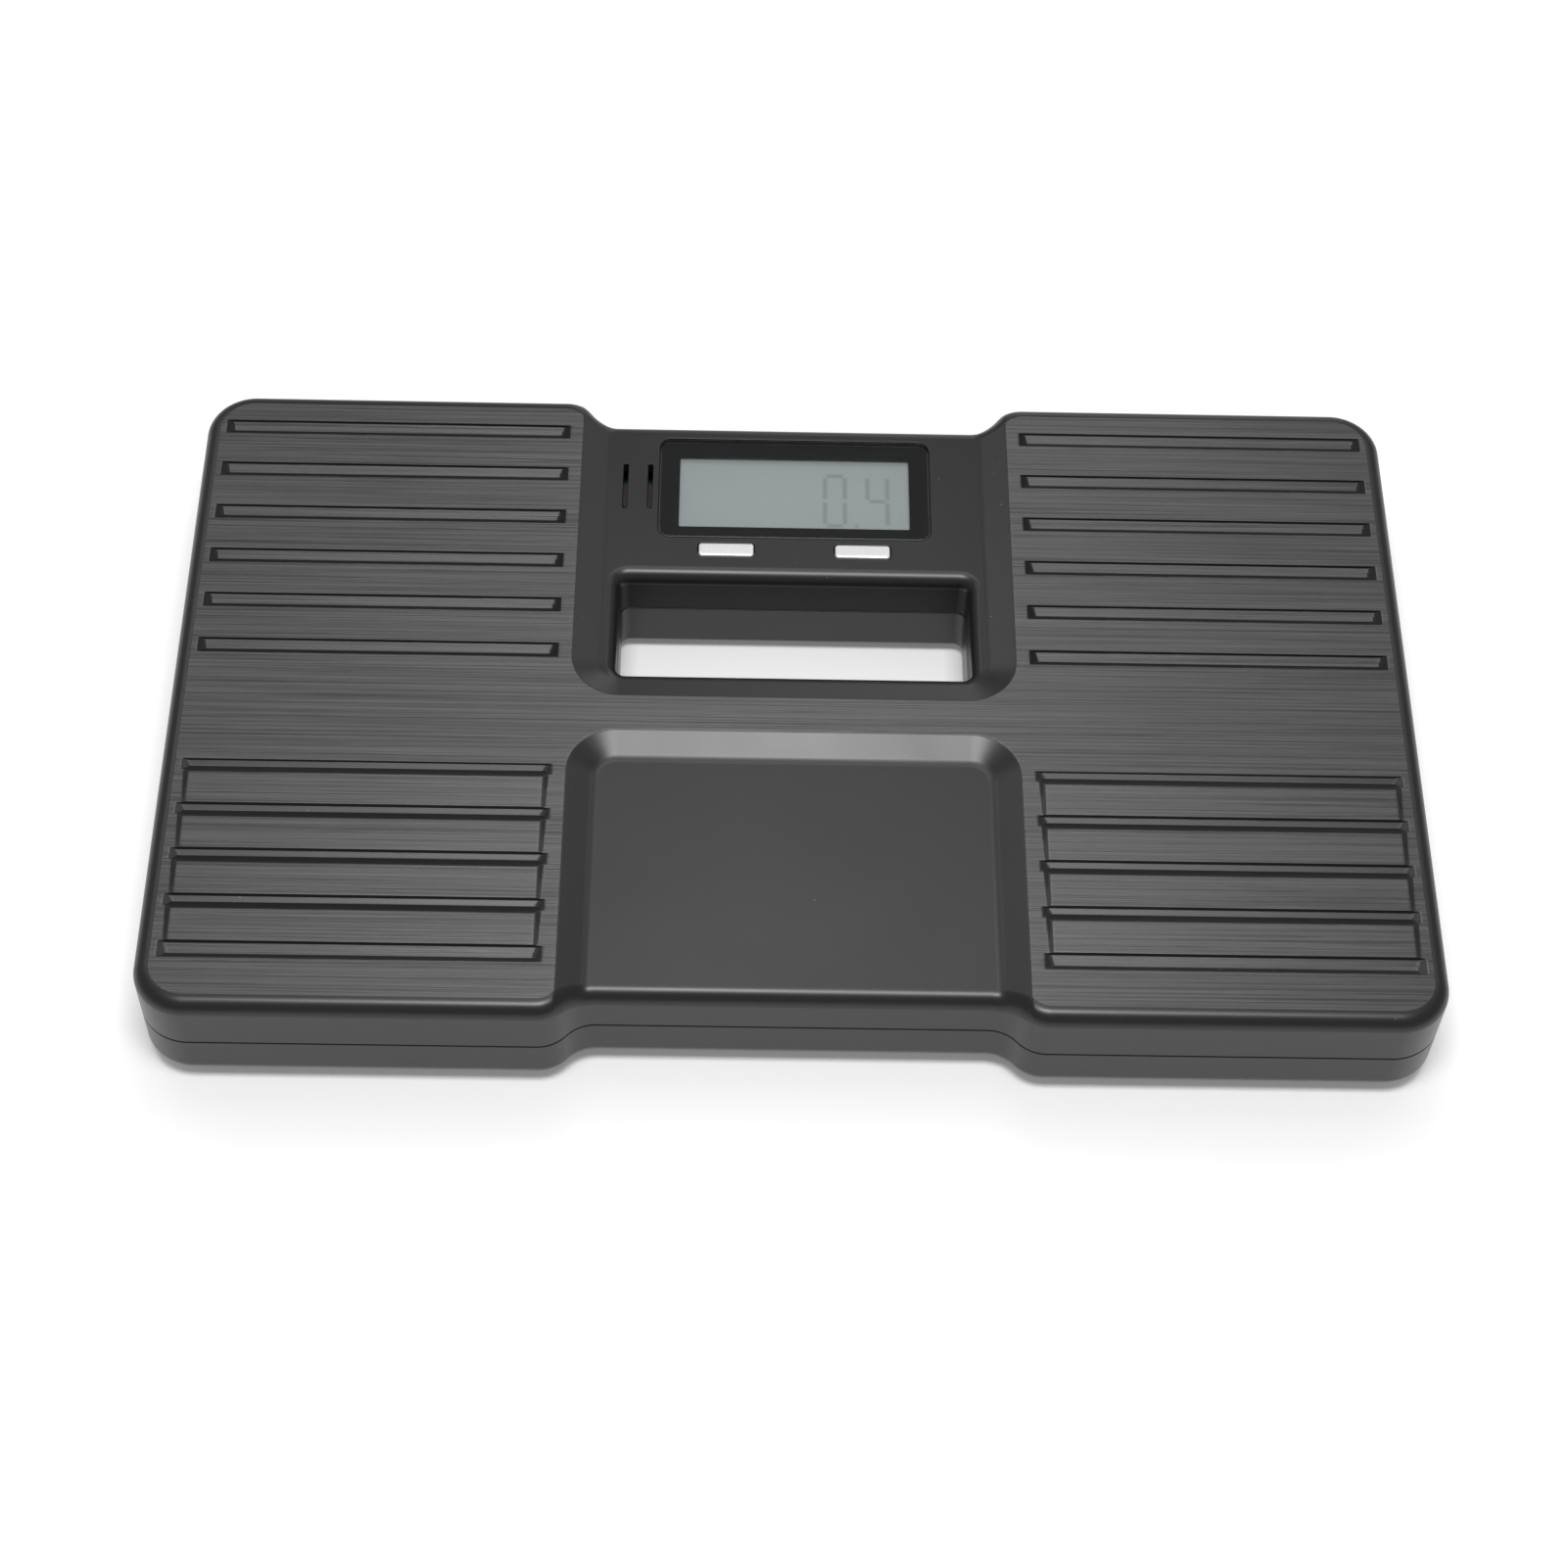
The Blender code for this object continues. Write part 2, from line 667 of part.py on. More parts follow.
def top_cover(parts, tools, plastic):
    cover = plate("top_cover", [body_outline()], UNDERSIDE, WING_TOP, parts)
    cut(cover, field_cutter("console_cutter", CONSOLE_FRONT, 1, CONSOLE_DEPTH, CONSOLE_SLOPE, tools))
    cut(cover, field_cutter("recess_cutter", RECESS_BACK, -1, RECESS_DEPTH, RECESS_SLOPE, tools))
    bevel(cover, TOP_FILLET, 3)
    reach = max(SIDE, BACK) + FAR
    rim = PARTING + GAP / 2
    cut(cover, box("top_trim", (-reach, -reach, UNDERSIDE - FAR), (reach, reach, rim), tools))
    cut(cover, plate("top_cavity", [body_outline(WALL)], rim - WALL, CEILING, tools))
    cut(cover, wing_cavities(tools))
    tube_block = plate("top_tube", [hole_outline(WALL)], rim, CONSOLE_TOP - CONSOLE_DEPTH / 2, tools)
    join(cover, tube_block)
    join(cover, top_bosses(tools))
    join(cover, load_ribs(tools))
    join(cover, stiffening_ribs(tools))
    join(cover, treads(tools))
    cut(cover, groove_cutter(tools))
    cut(cover, hole_cutter("top_hole", HOLE_FLARE, CONSOLE_TOP, 1, tools))
    cut(cover, plate("lens_seat", [lens_loop(GAP)], CONSOLE_TOP - LENS_THICK - GAP, WING_TOP, tools))
    cut(cover, console_openings(tools))
    cut(cover, screw_bores(tools))
    cover.data.materials.append(plastic)


# Bottom cover ------------------------------------------------------------------------------------------------


def lip(group):
    """Rises inside the top cover's wall. Its lower part is joined to the bottom cover's wall."""
    outer = WALL + GAP
    inner = outer + LIP_THICK
    root = PARTING - LIP_HEIGHT
    bm = bmesh.new()
    add_plate(bm, [body_outline(WALL - GAP), body_outline(inner)], root - 2 * LIP_HEIGHT, root)
    lower = object_of("lip_root", bm, group)
    bm = bmesh.new()
    add_plate(bm, [body_outline(outer), body_outline(inner)], root - LIP_HEIGHT, PARTING + LIP_HEIGHT)
    return lower, object_of("lip", bm, group)


def pocket_blocks(group):
    size = CELL_SIZE + 2 * (GAP + POCKET_WALL)
    bm = bmesh.new()
    for _, sx, sy in CORNERS:
        add_plate(bm, [square(foot_centre(sx, sy), size)], FLOOR_TOP - WALL / 2, CELL_UNDER + CELL_THICK)
    return object_of("pocket_blocks", bm, group)


def pocket_hollows(group):
    """In each pocket: the foot's hole, room for its flange, the cell's seat and its lead's notch."""
    bm = bmesh.new()
    for _, sx, sy in CORNERS:
        x, y = foot_centre(sx, sy)
        flange = FOOT_RADIUS + FOOT_FLANGE + FOOT_HOLE_GAP
        rings = [
            at_height(arc((x, y), radius, 0, 345, 23), z)
            for radius, z in (
                (FOOT_RADIUS + FOOT_HOLE_GAP, UNDERSIDE - FAR),
                (FOOT_RADIUS + FOOT_HOLE_GAP, FLOOR_TOP),
                (flange, FLOOR_TOP),
                (flange, CELL_UNDER + CELL_THICK / 2),
            )
        ]
        add_loft(bm, rings)
    holes = object_of("foot_holes", bm, group)
    seat = CELL_UNDER - GAP
    seats, notches = bmesh.new(), bmesh.new()
    for _, sx, sy in CORNERS:
        x, y = foot_centre(sx, sy)
        add_plate(seats, [square((x, y), CELL_SIZE + 2 * GAP)], seat, PARTING + FAR)
        x0, x1 = sorted((x - sx * (CELL_SIZE / 2 + POCKET_WALL + FAR / 2), x - sx * CELL_SIZE / 2))
        low = (x0, y - LEAD_NOTCH / 2, seat + WALL / 2)
        add_box(notches, low, (x1, y + LEAD_NOTCH / 2, PARTING + FAR))
    return holes, object_of("cell_seats", seats, group), object_of("lead_notches", notches, group)


def bottom_bosses(group):
    bm = bmesh.new()
    for _, x, y in case_screws():
        add_cylinder(bm, x, y, BOSS_RADIUS, FLOOR_TOP - WALL / 2, PARTING - GAP / 2)
    return object_of("bottom_bosses", bm, group)


def counterbores(group):
    bm = bmesh.new()
    for _, x, y in case_screws():
        seat = UNDERSIDE + SCREW_SEAT - GAP
        rings = [
            at_height(arc((x, y), radius, 0, 337.5, 15), z)
            for radius, z in (
                (SCREW_HEAD_RADIUS + GAP, UNDERSIDE - FAR),
                (SCREW_HEAD_RADIUS + GAP, seat),
                (SCREW_RADIUS + GAP, seat),
                (SCREW_RADIUS + GAP, PARTING + FAR),
            )
        ]
        add_loft(bm, rings)
    return object_of("counterbores", bm, group)


def bay_rect(grow):
    x, y = BAY_HALF_X + grow, BAY_HALF_Y + grow
    return [(-x, BAY_Y - y), (x, BAY_Y - y), (x, BAY_Y + y), (-x, BAY_Y + y)]


def bay_cutters(group):
    """The battery bay from below, the door's opening, and notches for the door's tongues and the wires."""
    bm = bmesh.new()
    add_plate(bm, [bay_rect(0.0)], FLOOR_TOP - WALL / 2, BAY_CEILING)
    bay = object_of("bay_hollow", bm, group)
    bm = bmesh.new()
    low = (-DOOR_HALF - GAP, DOOR_FRONT - GAP, UNDERSIDE - FAR)
    add_box(bm, low, (DOOR_HALF + GAP, DOOR_BACK + GAP, UNDERSIDE + DOOR_THICK + GAP))
    opening = object_of("door_opening", bm, group)
    bm = bmesh.new()
    for _, sx in SIDES:
        centre = sx * TONGUE_X
        half = TONGUE_WIDTH / 2 + 2 * GAP
        front = DOOR_FRONT - TONGUE_REACH - 4 * GAP
        top = FLOOR_TOP + TONGUE_REACH + TONGUE_THICK + 4 * GAP
        add_box(bm, (centre - half, front, FLOOR_TOP), (centre + half, BAY_Y, top))
    latch = LATCH_WIDTH / 2 + 2 * GAP
    add_box(
        bm,
        (-latch, BAY_Y, UNDERSIDE - FAR),
        (latch, DOOR_BACK + BAY_WALL / 2, UNDERSIDE + DOOR_THICK + LATCH_HEIGHT + GAP),
    )
    for row in (-1, 1):
        y = BAY_Y + row * BATTERY_SPACING / 2
        z = BATTERY_Z + BATTERY_RADIUS / 2
        half = 3 * WIRE_RADIUS
        add_box(bm, (0.0, y - half, z - half), (BAY_HALF_X + FAR / 2, y + half, z + half))
    return bay, opening, object_of("bay_notches", bm, group)


def bottom_cover(parts, tools, plastic):
    rim = PARTING - GAP / 2
    cover = plate("bottom_cover", [body_outline()], UNDERSIDE, WING_TOP, parts)
    bevel(cover, BOTTOM_FILLET, 3)
    reach = max(SIDE, BACK) + FAR
    cut(cover, box("bottom_trim", (-reach, -reach, rim), (reach, reach, WING_TOP + FAR), tools))
    cut(cover, plate("bottom_cavity", [body_outline(WALL)], FLOOR_TOP, PARTING + FAR, tools))
    for tool in lip(tools):
        join(cover, tool)
    join(cover, plate("bottom_tube", [hole_outline(WALL)], FLOOR_TOP - WALL / 2, rim, tools))
    join(cover, pocket_blocks(tools))
    join(cover, bottom_bosses(tools))
    bay_walls = [bay_rect(BAY_WALL + DOOR_MARGIN)]
    join(cover, plate("bay_block", bay_walls, FLOOR_TOP - WALL / 2, BAY_CEILING + WALL, tools))
    cut(cover, hole_cutter("bottom_hole", HOLE_LOWER_FLARE, UNDERSIDE, -1, tools))
    for tool in (*pocket_hollows(tools), counterbores(tools), *bay_cutters(tools)):
        cut(cover, tool)
    cover.data.materials.append(plastic)


# Display, board and buttons ----------------------------------------------------------------------------------


def display(parts, tools, looks):
    lens = plate("display_lens", [lens_loop()], CONSOLE_TOP - LENS_THICK, CONSOLE_TOP, parts)
    lens.data.materials.append(looks["lens"])
    screen_top = CEILING - GAP
    screen_low = screen_top - SCREEN_THICK
    screen_loop = around((0.0, LENS_Y), SCREEN_SIZE, SCREEN_CORNER, 2)
    screen = plate("lcd_glass", [screen_loop], screen_low, screen_top, parts)
    screen.data.materials.append(looks["screen"])
    opening = [s + 2 * GAP for s in SCREEN_SIZE]
    outer = [s + 2 * SCREEN_FRAME_WALL for s in opening]
    loops = [around((0.0, LENS_Y), size, SCREEN_CORNER, 2) for size in (outer, opening)]
    frame = plate("lcd_frame", loops, BOARD_TOP + GAP, screen_top, parts)
    frame.data.materials.append(looks["white plastic"])
    x = SCREEN_SIZE[0] / 2 - ZEBRA_MARGIN[0]
    y = LENS_Y + SCREEN_SIZE[1] / 2 - ZEBRA_MARGIN[1]
    low = (-x, y - ZEBRA_WIDTH / 2, BOARD_TOP + GAP)
    strip = box("zebra_strip", low, (x, y + ZEBRA_WIDTH / 2, screen_low - GAP), parts)
    strip.data.materials.append(looks["rubber"])


def circuit_board(parts, tools, looks):
    loop = rounded((-BOARD_HALF, BOARD_FRONT), (BOARD_HALF, BOARD_BACK), 0.001, 2)
    board = plate("circuit_board", [loop], BOARD_BOTTOM, BOARD_TOP, parts)
    bm = bmesh.new()
    for _, x, y in board_screws():
        add_cylinder(bm, x, y, BOARD_SCREW_RADIUS + GAP, BOARD_BOTTOM - WALL, BOARD_TOP + WALL, 12)
    cut(board, object_of("board_holes", bm, tools))
    board.data.materials.append(looks["board"])
    blob = turned("chip_blob", CHIP_BLOB, parts)
    blob.location = (CHIP_PLACE[0], LENS_Y + CHIP_PLACE[1], BOARD_BOTTOM - GAP)
    blob.data.materials.append(looks["epoxy"])
    low = BOARD_TOP + GAP
    ring = [(0.0, BUZZER_HEIGHT), (BUZZER_RADIUS, BUZZER_HEIGHT), (BUZZER_RADIUS, 0.0), (0.0, 0.0)]
    buzzer = turned("buzzer", ring, parts)
    buzzer.location = ((SLOT_X[0] + SLOT_X[1]) / 2, SLOT_Y, low)
    buzzer.data.materials.append(looks["black plastic"])
    profile = screw_profile(BOARD_SCREW_RADIUS, BOARD_SCREW_HEAD, BOARD_SCREW_LENGTH, BOARD_SCREW_HEAD_THICK)
    for name, x, y in board_screws():
        screw = turned(f"board_screw_{name}", profile, parts, SCREW_SIDES)
        screw.location = (x, y, BOARD_BOTTOM - GAP)
        screw.data.materials.append(looks["steel"])


def screw_profile(radius, head, length, head_thick):
    """Head under z = 0, shank above it with a blunt point."""
    return [
        (0.0, length),
        (radius * 0.6, length),
        (radius, length - radius),
        (radius, 0.0),
        (head, 0.0),
        (head, -head_thick * 0.6),
        (head * 0.75, -head_thick),
        (0.0, -head_thick),
    ]


def buttons(parts, tools, looks):
    """Each button slides down on its switch. Its origin is on the console's face."""
    switch_low = BOARD_TOP + GAP
    switch_top = switch_low + SWITCH_HEIGHT
    flange_top = CEILING - GAP
    flange_low = flange_top - BUTTON_FLANGE_THICK
    plunger_top = flange_low - GAP
    plunger_low = switch_top - PLUNGER_SUNK
    for side, sx in SIDES:
        centre = (sx * BUTTON_X, BUTTON_Y)
        pivot = bpy.data.objects.new(f"button_{side}_axis", None)
        pivot.location = (*centre, CONSOLE_TOP)
        parts.objects.link(pivot)
        button_cap(side, pivot, flange_low, flange_top, parts, tools, looks["silver"])
        top, low = plunger_top - CONSOLE_TOP, plunger_low - CONSOLE_TOP
        profile = [(0.0, top), (PLUNGER_RADIUS, top), (PLUNGER_RADIUS, low), (0.0, low)]
        plunger = turned(f"tact_plunger_{side}", profile, parts, SCREW_SIDES)
        plunger.parent = pivot
        plunger.data.materials.append(looks["black plastic"])
        switch = plate(f"tact_switch_{side}", [square(centre, SWITCH_SIZE)], switch_low, switch_top, parts)
        bm = bmesh.new()
        bore_low = plunger_low - BUTTON_TRAVEL - GAP
        add_cylinder(bm, *centre, PLUNGER_RADIUS + GAP, bore_low, switch_top + WALL, SCREW_SIDES)
        cut(switch, object_of(f"switch_bore_{side}", bm, tools))
        switch.data.materials.append(looks["steel"])


def button_cap(side, pivot, flange_low, flange_top, parts, tools, look):
    """The bar that shows through the console, and the flange that keeps it from falling out."""
    middle = (flange_low + flange_top) / 2 - CONSOLE_TOP
    loop = around((0.0, 0.0), BUTTON_SIZE, BUTTON_CORNER, 3)
    button = plate(f"button_{side}", [loop], middle, BUTTON_PROUD, parts)
    size = [s + 2 * BUTTON_FLANGE for s in BUTTON_SIZE]
    loop = around((0.0, 0.0), size, BUTTON_CORNER, 3)
    flange = plate(f"flange_{side}", [loop], flange_low - CONSOLE_TOP, flange_top - CONSOLE_TOP, tools)
    flange.parent = pivot
    join(button, flange)
    button.parent = pivot
    button.data.materials.append(look)


# Weighing corners --------------------------------------------------------------------------------------------


def load_cell_loops(centre):
    """A square frame with a middle tongue held at one side."""
    x, y = centre
    half = CELL_SIZE / 2
    inner = half - CELL_BAR
    tongue = inner - CELL_SLOT
    slot = [
        (x - inner, y + inner),
        (x - inner, y - inner),
        (x + inner, y - inner),
        (x + inner, y + inner),
        (x + tongue, y + inner),
        (x + tongue, y - tongue),
        (x - tongue, y - tongue),
        (x - tongue, y + inner),
    ]
    return [around(centre, (CELL_SIZE, CELL_SIZE), CELL_CORNER, 3), slot]


def foot_profile():
    """A stud that presses on the cell's tongue, a flange inside the floor, and a rim round the pad."""
    flange = FOOT_RADIUS + FOOT_FLANGE
    flange_low = FLOOR_TOP + GAP
    flange_top = flange_low + FOOT_FLANGE_THICK
    recess = PAD_HEIGHT + GAP
    top = CELL_UNDER - GAP
    return [
        (0.0, top),
        (FOOT_STUD_RADIUS, top),
        (FOOT_STUD_RADIUS, flange_top + FOOT_CROWN),
        (flange, flange_top),
        (flange, flange_low),
        (FOOT_RADIUS, flange_low),
        (FOOT_RADIUS, PAD_PROUD + FOOT_EDGE),
        (FOOT_RADIUS - FOOT_EDGE, PAD_PROUD),
        (PAD_RADIUS + GAP, PAD_PROUD),
        (PAD_RADIUS + GAP, recess),
        (0.0, recess),
    ]


def weighing_corner(name, sx, sy, parts, looks):
    centre = foot_centre(sx, sy)
    cell = plate(f"load_cell_{name}", load_cell_loops(centre), CELL_UNDER, CELL_UNDER + CELL_THICK, parts)
    cell.data.materials.append(looks["steel"])
    low = CELL_UNDER + CELL_THICK + GAP
    outer = around(centre, (CELL_SIZE, CELL_SIZE), CELL_CORNER, 3)
    loops = [outer, square(centre, CELL_SIZE - 2 * BRACKET_BAR)]
    bracket = plate(f"cell_bracket_{name}", loops, low, low + BRACKET_THICK, parts)
    bracket.data.materials.append(looks["white plastic"])
    foot = turned(f"foot_{name}", foot_profile(), parts, FOOT_SIDES)
    foot.location = (*centre, 0.0)
    foot.data.materials.append(looks["black plastic"])
    profile = [
        (0.0, PAD_HEIGHT),
        (PAD_RADIUS, PAD_HEIGHT),
        (PAD_RADIUS, PAD_EDGE),
        (PAD_RADIUS - PAD_EDGE, 0.0),
        (0.0, 0.0),
    ]
    pad = turned(f"foot_pad_{name}", profile, parts, FOOT_SIDES)
    pad.location = (*centre, 0.0)
    pad.data.materials.append(looks["rubber"])


# Power -------------------------------------------------------------------------------------------------------


def batteries(parts, looks):
    nub_radius, nub_height = BATTERY_NUB
    body = BATTERY_LENGTH - nub_height
    edge = 0.0005
    profile = [
        (0.0, BATTERY_LENGTH),
        (nub_radius, BATTERY_LENGTH),
        (nub_radius, body),
        (BATTERY_RADIUS - edge, body),
        (BATTERY_RADIUS, body - edge),
        (BATTERY_RADIUS, edge),
        (BATTERY_RADIUS - edge, 0.0),
        (0.0, 0.0),
    ]
    for row, sign in (("front", -1), ("back", 1)):
        cell = turned(f"battery_{row}", profile, parts)
        # The front cell's nub points right, and the back cell's points left.
        nub = -sign
        shift = BAY_HALF_X - 2 * GAP - PLATE_THICK - GAP - BATTERY_LENGTH
        cell.location = (nub * shift, BAY_Y + sign * BATTERY_SPACING / 2, BATTERY_Z)
        cell.rotation_euler = (0.0, nub * math.pi / 2, 0.0)
        cell.data.materials.append(looks["battery"])


def battery_rows():
    return {"front": BAY_Y - BATTERY_SPACING / 2, "back": BAY_Y + BATTERY_SPACING / 2}


def contacts(parts, looks):
    reach = BATTERY_RADIUS * PLATE_REACH
    outer = BAY_HALF_X - GAP
    low, high = BATTERY_Z - reach, BATTERY_Z + reach
    front, back = battery_rows().values()
    places = {
        "battery_link_plate": (-outer, front, back),
        "battery_plus_tab": (outer - PLATE_THICK, front, front),
        "battery_minus_tab": (outer - PLATE_THICK, back, back),
    }
    for name, (x, y0, y1) in places.items():
        piece = box(name, (x, y0 - reach, low), (x + PLATE_THICK, y1 + reach, high), parts)
        piece.data.materials.append(looks["steel"])
    for row, sign in (("front", -1), ("back", 1)):
        battery_spring(row, sign, parts, looks["steel"])


def battery_spring(row, sign, parts, look):
    """A cone spring on a battery's flat end: left of the front battery, and right of the back one."""
    start = BAY_HALF_X - 2 * GAP - PLATE_THICK - SPRING_WIRE
    length = 2 * BAY_HALF_X - 6 * GAP - 2 * PLATE_THICK - BATTERY_LENGTH - 2 * SPRING_WIRE
    wide, narrow = SPRING_RADII
    y = battery_rows()[row]
    count = SPRING_TURNS * SPRING_STEPS
    points = []
    for i in range(count + 1):
        t = i / count
        radius = wide + (narrow - wide) * t
        turn = 2 * math.pi * SPRING_TURNS * t
        x = sign * (start - length * t)
        points.append((x, y + radius * math.cos(turn), BATTERY_Z + radius * math.sin(turn)))
    spring = tube(f"battery_spring_{row}", points, SPRING_WIRE, parts)
    spring.data.bevel_resolution = 1
    spring.data.materials.append(look)


def battery_door(parts, tools, plastic):
    """A flush door with two tongues at its front edge. Its origin is on the line it swings about."""
    hinge = bpy.data.objects.new("battery_door_axis", None)
    hinge.location = (0.0, DOOR_FRONT - GAP / 2, UNDERSIDE)
    parts.objects.link(hinge)
    start = GAP / 2
    length = DOOR_BACK - DOOR_FRONT
    door = box("battery_door", (-DOOR_HALF, start, 0.0), (DOOR_HALF, start + length, DOOR_THICK), parts)
    lift = FLOOR_WALL + GAP
    bm = bmesh.new()
    for _, sx in SIDES:
        x0, x1 = sx * TONGUE_X - TONGUE_WIDTH / 2, sx * TONGUE_X + TONGUE_WIDTH / 2
        outline = [
            (start - GAP - TONGUE_REACH, lift),
            (start - GAP - TONGUE_REACH, lift + TONGUE_THICK),
            (start + TONGUE_ROOT, lift + TONGUE_THICK),
            (start + TONGUE_ROOT, DOOR_THICK / 2),
            (start + TONGUE_SETBACK, DOOR_THICK / 2),
            (start + TONGUE_SETBACK, lift),
        ]
        add_loft(bm, [[(x, y, z) for y, z in outline] for x in (x0, x1)])
    end = start + length
    half = LATCH_WIDTH / 2
    back = end - LATCH_SETBACK
    add_box(bm, (-half, back - LATCH_THICK, DOOR_THICK / 2), (half, back, DOOR_THICK + LATCH_HEIGHT))
    catches = object_of("door_catches", bm, tools)
    catches.parent = hinge
    join(door, catches)
    back = end - GRIP_SETBACK
    grip = box("door_grip", (-half, back - GRIP_SIZE[0], -FAR), (half, back, GRIP_SIZE[1]), tools)
    grip.parent = hinge
    cut(door, grip)
    door.parent = hinge
    door.data.materials.append(plastic)


def lead_routes(sx):
    """Centre lines of the back and the front load-cell leads on one side, from the cell to the board."""
    board = BOARD_BOTTOM - GAP
    low = FLOOR_TOP + LEAD_FLOOR
    cell_z = CELL_UNDER + LEAD_OVER_CELL
    lane = HOLE_HALF + WALL
    middle = (HOLE_FRONT + HOLE_BACK) / 2
    end_x = sx * (BOARD_HALF - LEAD_BOARD_INSET)
    x, y = foot_centre(sx, 1)
    start = x - sx * (CELL_SIZE / 2 + 2 * GAP)
    back = [
        (start, y, cell_z),
        (start - sx * 0.004, y, cell_z),
        (start - sx * 0.016, y - 0.003, low),
        (sx * (lane + 0.012), y - 0.001, low),
        (sx * (lane + 0.003), y + 0.001, low + 0.003),
        (end_x, y + 0.001, board - LEAD_BOARD_RISE),
        (end_x, y + 0.001, board),
    ]
    y = -y
    front = [
        (start, y, cell_z),
        (start - sx * 0.004, y, cell_z),
        (start - sx * 0.014, y + 0.008, low),
        (start - sx * 0.036, y + 0.034, low),
        (sx * (lane + 0.0095), HOLE_FRONT - 0.010, low),
        (sx * (lane + 0.0064), middle - 0.006, low),
        (sx * (lane + 0.0064), middle + 0.010, low),
        (sx * (lane + 0.0050), BOARD_FRONT + 0.006, low + 0.003),
        (end_x, BOARD_FRONT + 0.0145, board - LEAD_BOARD_RISE),
        (end_x, BOARD_FRONT + 0.0150, board),
    ]
    return back, front


def wire_route(sign, offset, landing):
    """Centre line of a battery wire, which passes the hand hole on the right."""
    board = BOARD_BOTTOM - GAP
    low = FLOOR_TOP + LEAD_FLOOR
    lane = HOLE_HALF + WALL
    out = BAY_HALF_X + DOOR_MARGIN + BAY_WALL
    y = BAY_Y + sign * BATTERY_SPACING / 2
    z = BATTERY_Z + BATTERY_RADIUS / 2
    end = (lane - WIRE_BOARD_X, BOARD_FRONT + landing)
    return [
        (out - 0.0020, y, z),
        (out + 0.0030, y, z),
        (out + 0.0070 - sign * 0.0020, y + 0.012, low + 0.001),
        (lane - 0.004 + offset, HOLE_FRONT - 0.012, low),
        (lane + offset, HOLE_FRONT + 0.004, low),
        (lane + offset, HOLE_BACK - 0.004, low),
        (lane - 0.004, BOARD_FRONT + landing - 0.003, low + 0.002),
        (*end, board - LEAD_BOARD_RISE),
        (*end, board),
    ]


def leads(parts, looks):
    for side, sx in SIDES:
        for row, route in zip(("back", "front"), lead_routes(sx)):
            lead = tube(f"load_cell_lead_{row}_{side}", smooth(route), LEAD_RADIUS, parts)
            lead.data.materials.append(looks["cable"])
    plus = tube("battery_wire_plus", smooth(wire_route(-1, 0.0040, 0.010)), WIRE_RADIUS, parts)
    plus.data.materials.append(looks["red wire"])
    minus = tube("battery_wire_minus", smooth(wire_route(1, 0.0020, 0.006)), WIRE_RADIUS, parts)
    minus.data.materials.append(looks["black wire"])


def case_screw_set(parts, looks):
    profile = screw_profile(SCREW_RADIUS, SCREW_HEAD_RADIUS, SCREW_LENGTH, SCREW_HEAD_THICK)
    for name, x, y in case_screws():
        screw = turned(f"case_screw_{name}", profile, parts, SCREW_SIDES)
        screw.location = (x, y, UNDERSIDE + SCREW_SEAT - 2 * GAP)
        screw.data.materials.append(looks["steel"])


def make_looks():
    return {
        "black plastic": material("black plastic", (0.045, 0.045, 0.047), 0.45),
        "white plastic": material("white plastic", (0.75, 0.75, 0.72), 0.5),
        "lens": material("smoked lens", (0.03, 0.03, 0.032), 0.1, alpha=0.35),
        "screen": material("screen glass", (0.30, 0.33, 0.32), 0.2),
        "rubber": material("rubber", (0.03, 0.03, 0.03), 0.8),
        "board": material("green board", (0.02, 0.16, 0.06), 0.4),
        "epoxy": material("epoxy", (0.01, 0.01, 0.01), 0.25),
        "steel": material("plated steel", (0.62, 0.62, 0.62), 0.3, metallic=1.0),
        "silver": material("silver paint", (0.68, 0.68, 0.68), 0.35, metallic=0.7),
        "battery": material("battery sleeve", (0.12, 0.12, 0.14), 0.35),
        "cable": material("grey cable", (0.25, 0.25, 0.25), 0.5),
        "red wire": material("red wire", (0.45, 0.02, 0.02), 0.45),
        "black wire": material("black wire", (0.02, 0.02, 0.02), 0.45),
    }


def smooth_shading(parts):
    for obj in parts.objects:
        if obj.type == "MESH":
            obj.data.shade_smooth()
            obj.data.set_sharp_from_angle(angle=math.radians(30))


def main():
    clear_scene()
    parts = collection("bathroom_scale")
    tools = collection("cutters")
    looks = make_looks()
    top_cover(parts, tools, looks["black plastic"])
    bottom_cover(parts, tools, looks["black plastic"])
    display(parts, tools, looks)
    circuit_board(parts, tools, looks)
    buttons(parts, tools, looks)
    for name, sx, sy in CORNERS:
        weighing_corner(name, sx, sy, parts, looks)
    batteries(parts, looks)
    contacts(parts, looks)
    battery_door(parts, tools, looks["black plastic"])
    leads(parts, looks)
    case_screw_set(parts, looks)
    smooth_shading(parts)


main()
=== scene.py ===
"""The looks of a portable digital bathroom scale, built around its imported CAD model."""

import json
import math

import bmesh
import bpy
import numpy as np
from mathutils import Matrix, Vector
from mathutils.geometry import delaunay_2d_cdt


